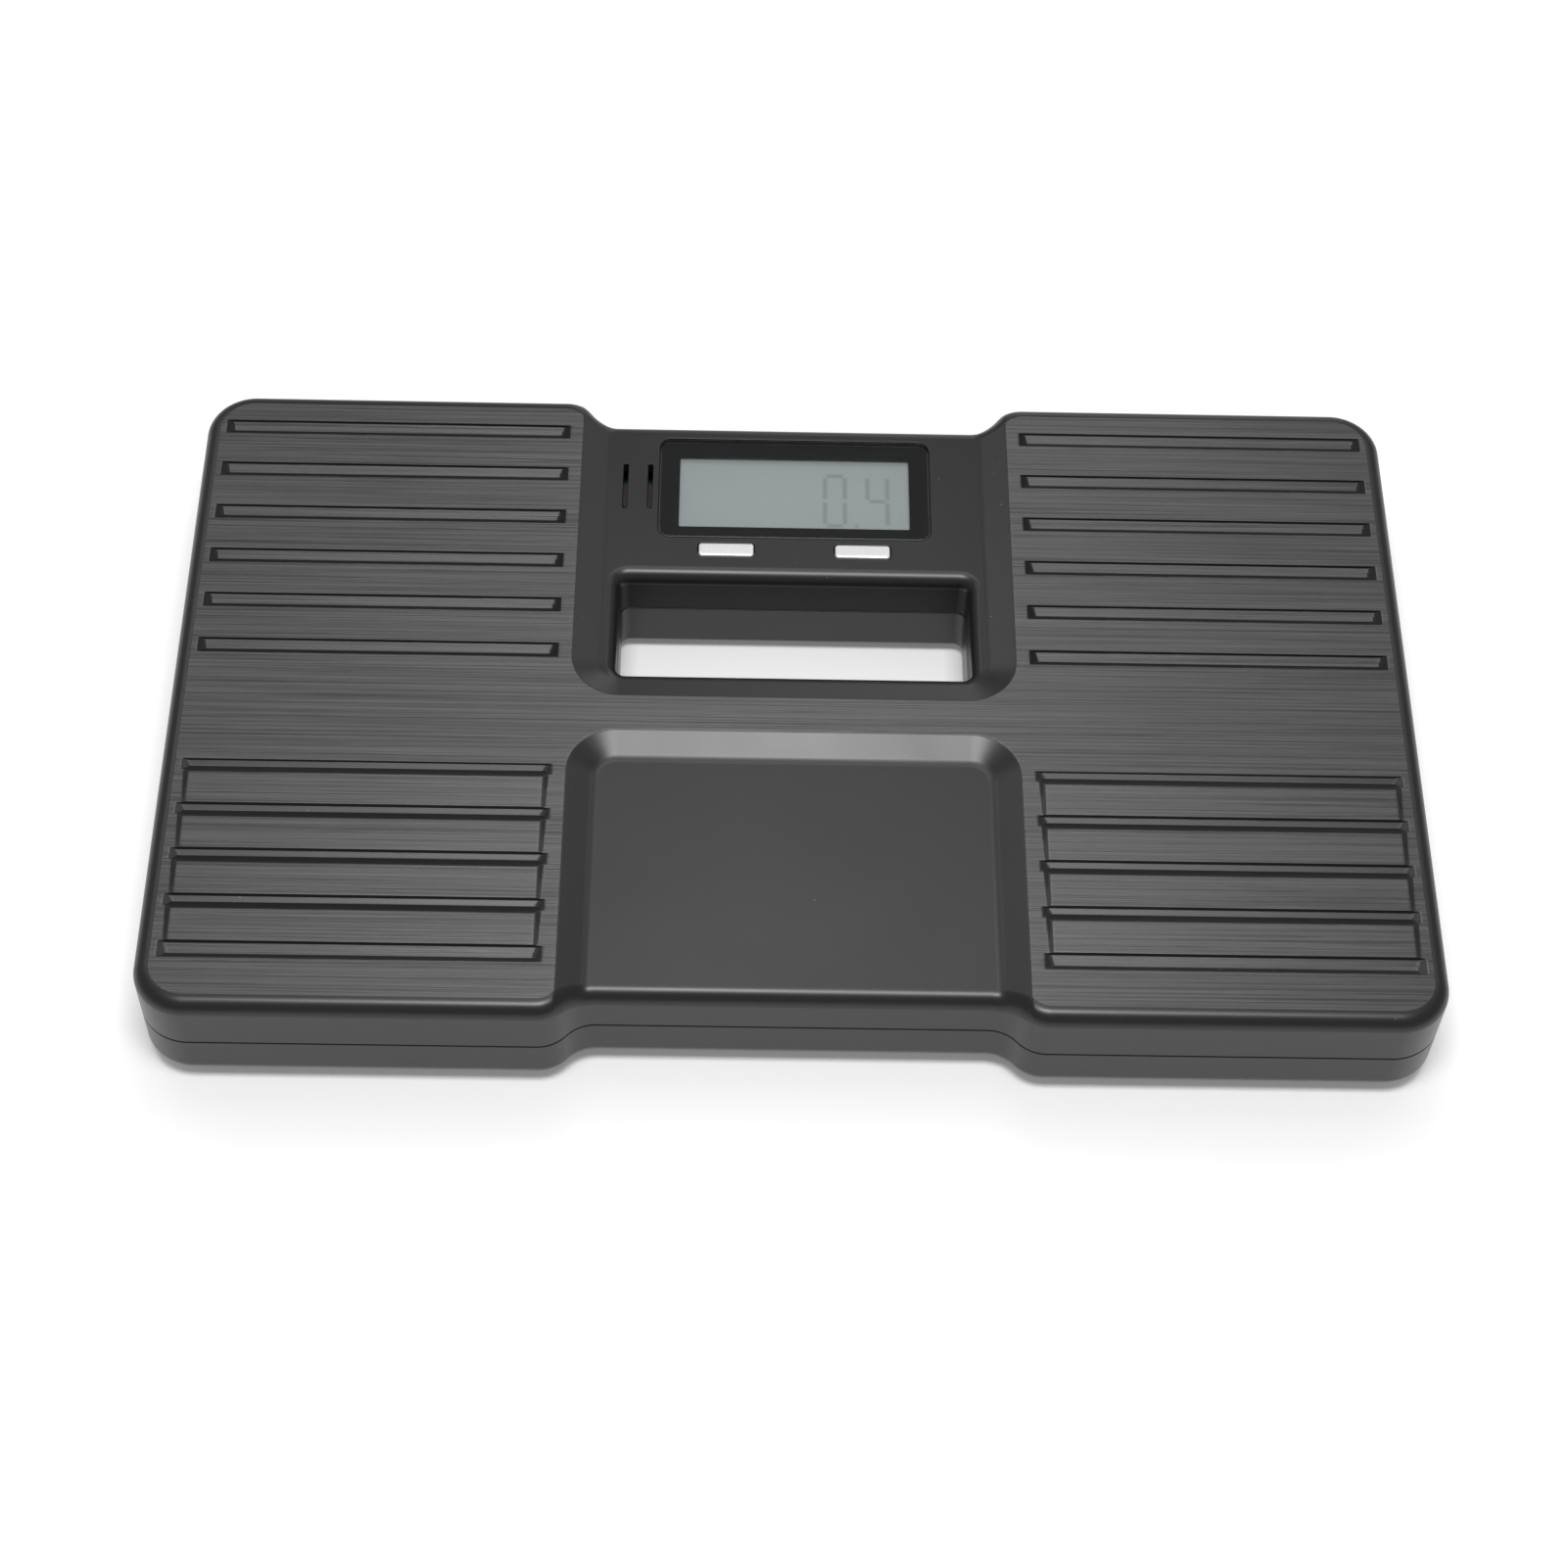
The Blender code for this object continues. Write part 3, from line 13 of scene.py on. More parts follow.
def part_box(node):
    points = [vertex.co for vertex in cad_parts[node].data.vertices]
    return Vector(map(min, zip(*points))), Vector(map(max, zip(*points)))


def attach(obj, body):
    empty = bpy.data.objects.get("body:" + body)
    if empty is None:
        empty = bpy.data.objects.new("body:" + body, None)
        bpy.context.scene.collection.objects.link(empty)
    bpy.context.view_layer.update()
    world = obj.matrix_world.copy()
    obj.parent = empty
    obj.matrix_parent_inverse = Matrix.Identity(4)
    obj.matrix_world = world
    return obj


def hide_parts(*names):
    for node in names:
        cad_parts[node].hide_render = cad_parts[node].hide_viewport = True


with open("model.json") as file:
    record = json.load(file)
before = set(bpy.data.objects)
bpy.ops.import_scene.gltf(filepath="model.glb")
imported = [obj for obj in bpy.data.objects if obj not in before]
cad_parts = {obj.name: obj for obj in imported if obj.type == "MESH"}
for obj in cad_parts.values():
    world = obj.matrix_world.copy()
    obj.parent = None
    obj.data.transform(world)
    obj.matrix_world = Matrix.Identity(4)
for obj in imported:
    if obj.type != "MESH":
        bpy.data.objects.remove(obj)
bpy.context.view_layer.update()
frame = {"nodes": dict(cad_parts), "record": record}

# The shapes below are in millimetres, in the same frame as the CAD model.
MM = 0.001


def box_mm(node):
    """The lowest and the highest corner of a CAD node."""
    return [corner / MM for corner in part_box(node)]


LENS_LOW, LENS_HIGH = box_mm("display_lens")

SIDE = box_mm("top_cover")[1].x
BACK = box_mm("top_cover")[1].y
UNDERSIDE = box_mm("bottom_cover")[0].z
PARTING = UNDERSIDE + 14.0
WING_TOP = UNDERSIDE + 30.0
CONSOLE_TOP = LENS_HIGH.z
GAP = 0.3
CORNER = 12.5
WAIST_INSET = 6.3
WAIST_HALF = 46.5
WING_START = 60.5
TOP_FILLET = 3.9
BOTTOM_FILLET = 4.0

FIELD_HALF = 55.9
FIELD_CORNER = 12.5
FIELDS = (  # edge, which way it opens, depth, border width
    (-2.9, 1, 2.5, 7.2),
    (-13.2, -1, 3.1, 6.8),
)
FIELD_ROUND = (0.9, 2.4)  # rounding of a border's top and foot

GROOVE_DEPTH = 1.0
GROOVE_BACK_DEPTH = 0.6  # the floor falls from here to the full depth
GROOVE_STEEP = 0.3
GROOVE_RAMP = 1.55
GROOVE_END = 2.0
GROOVE_WIDTH = 4.46
TREAD_GROOVE_WIDTH = 3.2
BACK_EDGES = [84.9 - 14.36 * i for i in range(6)]
FRONT_EDGES = [-80.7 + 4.46 + 13.07 * (4 - i) for i in range(5)]
GROOVE_WIDTHS = [GROOVE_WIDTH] * 6 + [TREAD_GROOVE_WIDTH] * 4 + [GROOVE_WIDTH]
GROOVE_X = (59.2, 149.6)
TREAD_RISE = (0.25, 0.9)  # at its front and at its back
TREAD_SUNK = 0.6

LENS_Y = 66.5
LENS_HALF = (35.2, 16.4)
LENS_CORNER = 3.0
WINDOW_HALF = (30.1, 11.9)
BUTTON_X, BUTTON_Y = 17.6, 45.7
BUTTON_HALF = (7.1, 2.05)
BUTTON_CORNER = 0.8
SLOTS = (-44.25, -37.8)
SLOT_Y = 66.7
SLOT_HALF = (0.65, 7.5)
HOLE_Y = 21.65
HOLE_HALF = (44.8, 15.15)
HOLE_CORNER = 2.5
HOLE_FLARE = 3.5
HOLE_LOWER_FLARE = 1.2

FOOT_PLACES = [(sx * 127.0, sy * 66.6) for sx in (-1, 1) for sy in (-1, 1)]
FOOT_HOLE = 15.1
SCREW_PLACES = {
    "front_left": (-93.0, -76.0),
    "front_right": (93.0, -76.0),
    "back_left": (-93.0, 76.0),
    "back_right": (93.0, 76.0),
    "middle_left": (-60.5, 21.65),
    "middle_right": (60.5, 21.65),
}
SCREW_HOLE = 3.1
BAY_Y = -50.0
DOOR_HALF = (27.05, 12.65)
BAY_HALF = (25.85, 11.45)
TONGUE_X, TONGUE_HALF = 15.0, 3.0
LATCH_HALF = 5.0


# Mesh tools ---------------------------------------------------------------------------------------


def placed(name, data):
    """A new object in the scene."""
    made = bpy.data.objects.new(name, data)
    bpy.context.scene.collection.objects.link(made)
    return made


def object_from(name, mesh, body):
    made = placed(name, mesh)
    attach(made, body)
    return made


def mesh_of(name, vertices, faces):
    mesh = bpy.data.meshes.new(name)
    mesh.from_pydata([tuple(c * MM for c in v) for v in vertices], [], faces)
    mesh.validate()
    return mesh


def shade(obj, angle=35.0):
    """Smooth shading that keeps flat faces flat and edges over angle sharp."""
    obj.data.shade_smooth()
    obj.data.set_sharp_from_angle(angle=math.radians(angle))
    weighted = obj.modifiers.new("weighted", "WEIGHTED_NORMAL")
    weighted.keep_sharp = True
    weighted.weight = 100
    return obj


def lofted(name, body, rings, look, capped=(True, True), angle=35.0):
    """A solid through rings that have the same number of points, from the lowest up."""
    count = len(rings[0])
    vertices = [point for ring in rings for point in ring]
    faces = []
    for row in range(len(rings) - 1):
        for i in range(count):
            j = (i + 1) % count
            a, b = row * count, (row + 1) * count
            faces.append((a + i, a + j, b + j, b + i))
    if capped[0]:
        faces.append(tuple(reversed(range(count))))
    if capped[1]:
        last = (len(rings) - 1) * count
        faces.append(tuple(range(last, last + count)))
    obj = object_from(name, mesh_of(name, vertices, faces), body)
    obj.data.materials.append(look)
    return shade(obj, angle)


def turned(name, body, profile, centre, look, sides=64, angle=35.0):
    """A profile of (radius, height), from its foot up its outer side, turned round Z. Both ends are on Z."""
    vertices, faces = [], []
    x, y, z = centre
    rows = []
    for radius, height in profile:
        if radius < 1e-6:
            rows.append([len(vertices)] * sides)
            vertices.append((x, y, z + height))
            continue
        rows.append([len(vertices) + i for i in range(sides)])
        for i in range(sides):
            turn = 2 * math.pi * i / sides
            vertices.append((x + radius * math.cos(turn), y + radius * math.sin(turn), z + height))
    for low, high in zip(rows, rows[1:]):
        for i in range(sides):
            j = (i + 1) % sides
            face = []
            for index in (low[i], low[j], high[j], high[i]):
                if index not in face:
                    face.append(index)
            faces.append(tuple(face))
    obj = object_from(name, mesh_of(name, vertices, faces), body)
    obj.data.materials.append(look)
    return shade(obj, angle)


def boolean(target, tools, operation="DIFFERENCE"):
    """Applies each tool to target at once, and removes the tools."""
    for tool in tools:
        modifier = target.modifiers.new("cut", "BOOLEAN")
        modifier.operation = operation
        modifier.solver = "EXACT"
        modifier.object = tool
    weighted = [m for m in target.modifiers if m.type == "WEIGHTED_NORMAL"]
    for modifier in weighted:
        target.modifiers.remove(modifier)
    bpy.context.view_layer.update()
    made = bpy.data.meshes.new_from_object(target.evaluated_get(bpy.context.evaluated_depsgraph_get()))
    target.modifiers.clear()
    target.data = made
    for tool in tools:
        bpy.data.objects.remove(tool)
    return target


def soft_edges(obj, width=0.15, segments=2, angle=40.0):
    """Rounds the sharp edges of a piece, and bakes the result."""
    modifier = obj.modifiers.new("bevel", "BEVEL")
    modifier.width = width * MM
    modifier.segments = segments
    modifier.limit_method = "ANGLE"
    modifier.angle_limit = math.radians(angle)
    modifier.harden_normals = False
    return boolean(obj, [])


def block(name, body, low, high, look):
    (x0, y0, z0), (x1, y1, z1) = low, high
    rings = [[(x0, y0, z), (x1, y0, z), (x1, y1, z), (x0, y1, z)] for z in (z0, z1)]
    return lofted(name, body, rings, look)


# Outlines in plan ---------------------------------------------------------------------------------


def arc(x, y, radius, start, end, steps):
    turns = [math.radians(start + (end - start) * i / steps) for i in range(steps + 1)]
    return [(x + radius * math.cos(a), y + radius * math.sin(a)) for a in turns]


def rounded(x, y, half, radius, steps=10):
    """A rectangle with round corners, anticlockwise."""
    hx, hy = half[0] - radius, half[1] - radius
    return [
        *arc(x + hx, y + hy, radius, 0, 90, steps),
        *arc(x - hx, y + hy, radius, 90, 180, steps),
        *arc(x - hx, y - hy, radius, 180, 270, steps),
        *arc(x + hx, y - hy, radius, 270, 360, steps),
    ]


def raised(loop, z):
    return [(x, y, z) for x, y in loop]


def waist_bend():
    run = WING_START - WAIST_HALF
    bend = (run**2 + WAIST_INSET**2) / (4 * WAIST_INSET)
    return bend, math.degrees(2 * math.atan2(WAIST_INSET, run))


def body_outline(inset):
    bend, turn = waist_bend()
    quarter = [
        *arc(WAIST_HALF, BACK - WAIST_INSET + bend, bend + inset, -90, -90 + turn, 14),
        *arc(WING_START, BACK - bend, bend - inset, 90 + turn, 90, 14)[1:],
        *arc(SIDE - CORNER, BACK - CORNER, CORNER - inset, 90, 0, 28),
    ]
    right = quarter + [(x, -y) for x, y in reversed(quarter)]
    return right + [(-x, y) for x, y in reversed(right)]


def outline_distance(x, y):
    """Distance inside the body's outline, true near it, and the inward direction."""
    ax, ay = np.abs(x), np.abs(y)
    bend, _ = waist_bend()
    side = SIDE - ax
    first = np.array((WAIST_HALF, BACK - WAIST_INSET + bend))
    second = np.array((WING_START, BACK - bend))
    lean = second - first
    crossed = lean[0] * (ay - first[1]) - lean[1] * (ax - first[0])
    far_first = np.hypot(ax - first[0], ay - first[1])
    far_second = np.hypot(ax - second[0], ay - second[1])
    waist = ax < WAIST_HALF
    wing = ax > WING_START
    concave = ~waist & ~wing & (crossed < 0)
    back = np.select(
        [waist, concave, wing],
        [BACK - WAIST_INSET - ay, far_first - bend, BACK - ay],
        bend - far_second,
    )
    zero = np.zeros_like(ax)
    back_x = np.select(
        [waist | wing, concave],
        [zero, (ax - first[0]) / far_first],
        (second[0] - ax) / np.maximum(far_second, 1e-9),
    )
    back_y = np.select(
        [waist | wing, concave],
        [zero - 1, (ay - first[1]) / far_first],
        (second[1] - ay) / np.maximum(far_second, 1e-9),
    )
    nearer = side < back
    distance = np.where(nearer, side, back)
    gx = np.where(nearer, -1.0, back_x)
    gy = np.where(nearer, 0.0, back_y)
    cx, cy = ax - (SIDE - CORNER), ay - (BACK - CORNER)
    corner = (cx > 0) & (cy > 0)
    reach = np.maximum(np.hypot(cx, cy), 1e-9)
    distance = np.where(corner, CORNER - reach, distance)
    gx = np.where(corner, -cx / reach, gx)
    gy = np.where(corner, -cy / reach, gy)
    return distance, gx * np.sign(x), gy * np.sign(y)


def rounded_distance(x, y, centre, half, radius):
    """Distance outside a rounded rectangle, and the outward direction."""
    dx, dy = x - centre[0], y - centre[1]
    qx, qy = np.abs(dx) - (half[0] - radius), np.abs(dy) - (half[1] - radius)
    reach = np.hypot(np.maximum(qx, 0), np.maximum(qy, 0))
    distance = reach + np.minimum(np.maximum(qx, qy), 0) - radius
    corner = (qx > 0) & (qy > 0)
    safe = np.maximum(reach, 1e-9)
    gx = np.where(corner, qx / safe, (qx >= qy).astype(float))
    gy = np.where(corner, qy / safe, (qx < qy).astype(float))
    return distance, gx * np.sign(dx), gy * np.sign(dy)


def field_distance(x, y, edge, towards):
    """Distance outside a sunk field's edge, negative inside it."""
    u = np.abs(x) - (FIELD_HALF - FIELD_CORNER)
    v = FIELD_CORNER - towards * (y - edge)
    return np.hypot(np.maximum(u, 0), np.maximum(v, 0)) + np.minimum(np.maximum(u, v), 0) - FIELD_CORNER


def field_line(edge, towards, grow):
    half, radius = FIELD_HALF + grow, FIELD_CORNER + grow
    start = edge - towards * grow
    corner = arc(half - radius, 0.0, radius, 0, 90, 22)
    side = [(x, start + towards * (radius - y)) for x, y in corner]
    far = towards * (BACK + 5)
    return [(half, far), *side, *[(-x, y) for x, y in reversed(side)], (-half, far)]


# Heights ------------------------------------------------------------------------------------------


def soft_min(a, b, reach):
    near = np.maximum(reach - np.abs(a - b), 0) / reach
    return np.minimum(a, b) - near * near * reach / 4


def soft_max(a, b, reach):
    return -soft_min(-a, -b, reach)


def soft_start(t, width):
    """0 below nought and t above it, rounded over width."""
    inside = np.abs(t) < width / 2
    return np.where(inside, (t + width / 2) ** 2 / (2 * width), np.maximum(t, 0))


def field_drop(x, y):
    drop = np.zeros_like(x)
    for edge, towards, depth, width in FIELDS:
        sunk = -field_distance(x, y, edge, towards)
        share = soft_start(sunk, FIELD_ROUND[0]) - soft_start(sunk - width, FIELD_ROUND[1])
        drop += depth * share / width
    return drop


def groove_height(x, y, edge, width):
    ax = np.abs(x)
    share = np.clip((edge - GROOVE_STEEP - y) / (width - GROOVE_STEEP - GROOVE_RAMP * GROOVE_DEPTH), 0, 1)
    floor = -GROOVE_BACK_DEPTH - (GROOVE_DEPTH - GROOVE_BACK_DEPTH) * share
    wall = (y - edge) / GROOVE_STEEP * GROOVE_DEPTH
    ramp = (edge - width - y) / GROOVE_RAMP
    ends = np.maximum((GROOVE_X[0] - ax), (ax - GROOVE_X[1])) / GROOVE_END * GROOVE_DEPTH
    return soft_max(soft_max(soft_max(floor, ends, 0.35), ramp, 0.25), wall, 0.25)


def wing_relief(x, y):
    """Height of the grooves and treads over the wings' flat tops."""
    ax = np.abs(x)
    relief = np.zeros_like(ax)
    edges = list(zip(FRONT_EDGES, FRONT_EDGES[1:]))
    for edge, following in edges:
        front, back = following - GROOVE_STEEP, edge - TREAD_GROOVE_WIDTH + 0.2
        share = np.clip((y - front) / (back - front), -0.2, 1.2)
        rise = TREAD_RISE[0] + (TREAD_RISE[1] - TREAD_RISE[0]) * share
        inside = np.minimum(ax - GROOVE_X[0], GROOVE_X[1] - ax)
        ends = -TREAD_SUNK + inside * (TREAD_SUNK + rise) / GROOVE_END
        tread = soft_min(rise, ends, 0.3)
        here = (y > front) & (y < edge)
        relief = np.where(here, soft_max(relief, tread, 0.2), relief)
    for edge, width in zip(BACK_EDGES + FRONT_EDGES, GROOVE_WIDTHS):
        relief = soft_min(relief, groove_height(x, y, edge, width), 0.16)
    return relief


def top_height(x, y):
    return WING_TOP + wing_relief(x, y) - field_drop(x, y)


def flat_height(x, _):
    return np.full_like(x, -UNDERSIDE)


# Skins --------------------------------------------------------------------------------------------


class Edge:
    """One edge of a skin: where it is, how round it is, and the wall that goes on from it.

    The wall's levels are (shift towards the open side, height, degrees the surface has turned over)."""

    def __init__(self, distance, loop, radius, steps, wall):
        self.distance = distance
        self.loop = loop
        self.radius = radius
        self.steps = steps
        self.wall = wall

    def offsets(self):
        turns = [math.pi / 2 * i / self.steps for i in range(self.steps + 1)]
        return [self.radius * (1 - math.cos(turn)) for turn in turns]


def hole_edge(centre, half, corner, radius, steps, wall, corner_steps=10):
    return Edge(
        lambda x, y: rounded_distance(x, y, centre, half, corner),
        lambda grow: rounded(*centre, (half[0] + grow, half[1] + grow), corner + grow, corner_steps),
        radius,
        steps,
        wall,
    )


def drop_and_normal(x, y, height, edges):
    """Height of the skin, with its round edges, and its normal. Both are for a skin that faces up."""
    z = height(x, y)
    step = 0.02
    slope_x = (height(x + step, y) - height(x - step, y)) / (2 * step)
    slope_y = (height(x, y + step) - height(x, y - step)) / (2 * step)
    normal = np.stack([-slope_x, -slope_y, np.ones_like(x)], axis=1)
    for edge in edges:
        distance, gx, gy = edge.distance(x, y)
        near = distance < edge.radius
        lean = np.clip(1 - distance / edge.radius, 0, 1)
        up = np.sqrt(1 - lean**2)
        z = np.where(near, z - edge.radius * (1 - up), z)
        rounded_normal = np.stack([-slope_x * up - lean * gx, -slope_y * up - lean * gy, up], axis=1)
        normal = np.where(near[:, None], rounded_normal, normal)
    return z, normal / np.linalg.norm(normal, axis=1)[:, None]


def skin(name, body, looks, height, edges, lines, grids, choose, down=False, walls=()):
    """A skin in plan with lines and grids of points in it, lifted to height, with walls down from its edges.

    choose and walls number the look of each face of the skin and of each edge's wall."""
    points, links = [], []

    def add(path, closed):
        start = len(points)
        points.extend(Vector(p) for p in path)
        links.extend((start + i, start + i + 1) for i in range(len(path) - 1))
        if closed:
            links.append((start + len(path) - 1, start))

    for edge in edges:
        for offset in edge.offsets():
            loop = edge.loop(offset)
            add([p for p, q in zip(loop, loop[1:] + loop[:1]) if math.dist(p, q) > 1e-6], True)
    for path in lines:
        add(path, False)
    for xs, ys in grids:
        for y in ys:
            add([(x, y) for x in xs], False)
    found, _, triangles, *_ = delaunay_2d_cdt(points, links, [], 0, 1e-5)
    plan = np.array([(v.x, v.y) for v in found])
    triangles = np.array(triangles)
    middle = plan[triangles].mean(axis=1)
    inside = np.ones(len(triangles), bool)
    for edge in edges:
        inside &= edge.distance(middle[:, 0], middle[:, 1])[0] > 0
    triangles = triangles[inside]
    used, triangles = np.unique(triangles, return_inverse=True)
    triangles = triangles.reshape(-1, 3)
    plan = plan[used]
    middle = plan[triangles].mean(axis=1)
    x, y = plan[:, 0], plan[:, 1]
    z, normals = drop_and_normal(x, y, height, edges)
    vertices = [tuple(v) for v in np.stack([x, y, z], axis=1)]
    normals = [tuple(n) for n in normals]
    faces = [tuple(int(i) for i in t) for t in triangles]
    slots = [int(s) for s in choose(middle[:, 0], middle[:, 1])]
    seen = {}
    for face in faces:
        for a, b in zip(face, face[1:] + face[:1]):
            seen[(a, b)] = True
    rim = [(a, b) for a, b in seen if (b, a) not in seen]
    reach = [edge.distance(x, y) for edge in edges]
    columns = {}

    def column(vertex, number):
        if (vertex, number) not in columns:
            _, gx, gy = (values[vertex] for values in reach[number])
            made = [vertex]
            for shift, level, turned_over in edges[number].wall:
                lean = math.radians(turned_over)
                made.append(len(vertices))
                height_here = -level if down else level
                vertices.append((x[vertex] - gx * shift, y[vertex] - gy * shift, height_here))
                normals.append((-gx * math.cos(lean), -gy * math.cos(lean), -math.sin(lean)))
            columns[(vertex, number)] = made
        return columns[(vertex, number)]

    for a, b in rim:
        number = min(range(len(edges)), key=lambda i: abs(reach[i][0][a]) + abs(reach[i][0][b]))
        left, right = column(a, number), column(b, number)
        for upper, lower in zip(range(len(left) - 1), range(1, len(left))):
            faces.append((left[upper], left[lower], right[lower], right[upper]))
            slots.append(walls[number] if number < len(walls) else 0)
    if down:
        vertices = [(vx, vy, -vz) for vx, vy, vz in vertices]
        normals = [(nx, ny, -nz) for nx, ny, nz in normals]
        faces = [tuple(reversed(face)) for face in faces]
    mesh = bpy.data.meshes.new(name)
    mesh.from_pydata([tuple(c * MM for c in v) for v in vertices], [], faces)
    for look in looks:
        mesh.materials.append(look)
    mesh.polygons.foreach_set("material_index", slots)
    mesh.shade_smooth()
    mesh.normals_split_custom_set_from_vertices(normals)
    return object_from(name, mesh, body)


def wall_down(rim, inner, toward=1):
    """A straight wall that ends in a small round rim at the parting plane, and turns in behind it."""
    small = 0.25
    return [
        (0.0, rim + toward * small, 0),
        (-small * 0.29, rim + toward * small * 0.29, 45),
        (-small, rim, 90),
        (-inner, rim, 90),
    ]


# Materials ----------------------------------------------------------------------------------------


LENS_IOR = 1.49
LENS_INNER_MIRROR = 0.02
DIGITS = ((10.7, "abcdef"), (21.9, "bcfg"))  # place in X, lit bars
DIGIT_Y = LENS_Y - 1.0
DIGIT_HALF = (2.6, 8.4)
DIGIT_STROKE = 1.1
DIGIT_GAP = (0.5, 0.6)  # how much shorter the flat and the upright bars are at each end
DIGIT_BLUR = 0.4
POINT_X = 16.3
POINT_HALF = 0.5
FLOOR_GLOW = 0.14


class Look:
    """A Principled material, with small helpers that add nodes to it."""

    def __init__(self, name, colour, roughness, **sockets):
        self.material = bpy.data.materials.new(name)
        self.material.use_nodes = True
        self.nodes = self.material.node_tree.nodes
        self.links = self.material.node_tree.links
        self.shader = self.nodes["Principled BSDF"]
        self.shader.inputs["Base Color"].default_value = (*colour, 1.0)
        self.shader.inputs["Roughness"].default_value = roughness
        for socket, value in sockets.items():
            self.shader.inputs[socket.replace("_", " ")].default_value = value
        self.place = self.node("ShaderNodeTexCoord").outputs["Object"]

    def node(self, kind, **settings):
        made = self.nodes.new(kind)
        for key, value in settings.items():
            setattr(made, key, value)
        return made

    def join(self, source, target):
        self.links.new(source, target)

    def noise(self, scale, detail=2.0, rough=0.5, stretch=(1, 1, 1), offset=(0, 0, 0)):
        mapping = self.node("ShaderNodeMapping")
        mapping.inputs["Scale"].default_value = [s * scale for s in stretch]
        mapping.inputs["Location"].default_value = offset
        self.join(self.place, mapping.inputs["Vector"])
        noise = self.node("ShaderNodeTexNoise")
        noise.inputs["Scale"].default_value = 1.0
        noise.inputs["Detail"].default_value = detail
        noise.inputs["Roughness"].default_value = rough
        self.join(mapping.outputs["Vector"], noise.inputs["Vector"])
        return noise.outputs["Fac"]

    def ramp(self, value, low, high, out_low=0.0, out_high=1.0):
        made = self.node("ShaderNodeMapRange")
        for key, number in (("From Min", low), ("From Max", high), ("To Min", out_low), ("To Max", out_high)):
            made.inputs[key].default_value = number
        self.join(value, made.inputs["Value"])
        return made.outputs["Result"]

    def math(self, operation, a, b=None):
        made = self.node("ShaderNodeMath", operation=operation)
        for socket, value in zip(made.inputs, (a, b)):
            if value is None:
                continue
            if isinstance(value, (int, float)):
                socket.default_value = value
            else:
                self.join(value, socket)
        return made.outputs[0]

    def mix(self, factor, a, b):
        made = self.node("ShaderNodeMix", data_type="RGBA")
        for socket, value in zip((made.inputs[0], made.inputs[6], made.inputs[7]), (factor, a, b)):
            if isinstance(value, (int, float)):
                socket.default_value = value
            elif isinstance(value, tuple):
                socket.default_value = (*value, 1.0)
            else:
                self.join(value, socket)
        return made.outputs[2]

    def bump(self, layers):
        """Bump from (height, distance in metres, strength) layers, coarsest first."""
        last = None
        for height, distance, strength in layers:
            made = self.node("ShaderNodeBump")
            made.inputs["Distance"].default_value = distance
            made.inputs["Strength"].default_value = strength
            self.join(height, made.inputs["Height"])
            if last is not None:
                self.join(last, made.inputs["Normal"])
            last = made.outputs["Normal"]
        self.join(last, self.shader.inputs["Normal"])

    def colour(self, source):
        self.join(source, self.shader.inputs["Base Color"])

    def roughness(self, source):
        self.join(source, self.shader.inputs["Roughness"])


def satin_black():
    """Moulded black plastic: a very fine spark texture, faint cloudiness and a few dust specks."""
    look = Look("satin_black", (0.012, 0.012, 0.0125), 0.34)
    fine = look.noise(4200, 2.0, 0.6)
    cloudy = look.noise(28, 3.0, 0.5)
    look.roughness(look.ramp(cloudy, 0.3, 0.7, 0.32, 0.36))
    dust = look.ramp(look.noise(700, 1.0, 0.5), 0.80, 0.84)
    tone = look.mix(cloudy, (0.010, 0.010, 0.0105), (0.014, 0.014, 0.0145))
    look.colour(look.mix(look.math("MULTIPLY", dust, 0.25), tone, (0.4, 0.4, 0.4)))
    look.bump([(fine, 0.00002, 0.22)])
    return look.material


def matt_black_painted_shade():
    """The same plastic, rougher and matt, on the groove ramps and the wall of the hand hole. Its darker
    colour and weaker reflection are painted shade for these faces.
    """
    look = Look("matt_black_painted_shade", (0.007, 0.007, 0.0072), 0.5, Specular_IOR_Level=0.24)
    fine = look.noise(3600, 2.0, 0.6)
    look.colour(look.mix(look.noise(40, 3.0, 0.5), (0.006, 0.006, 0.0062), (0.009, 0.009, 0.0092)))
    look.roughness(look.ramp(fine, 0.3, 0.7, 0.46, 0.54))
    look.bump([(fine, 0.00002, 0.25)])
    return look.material


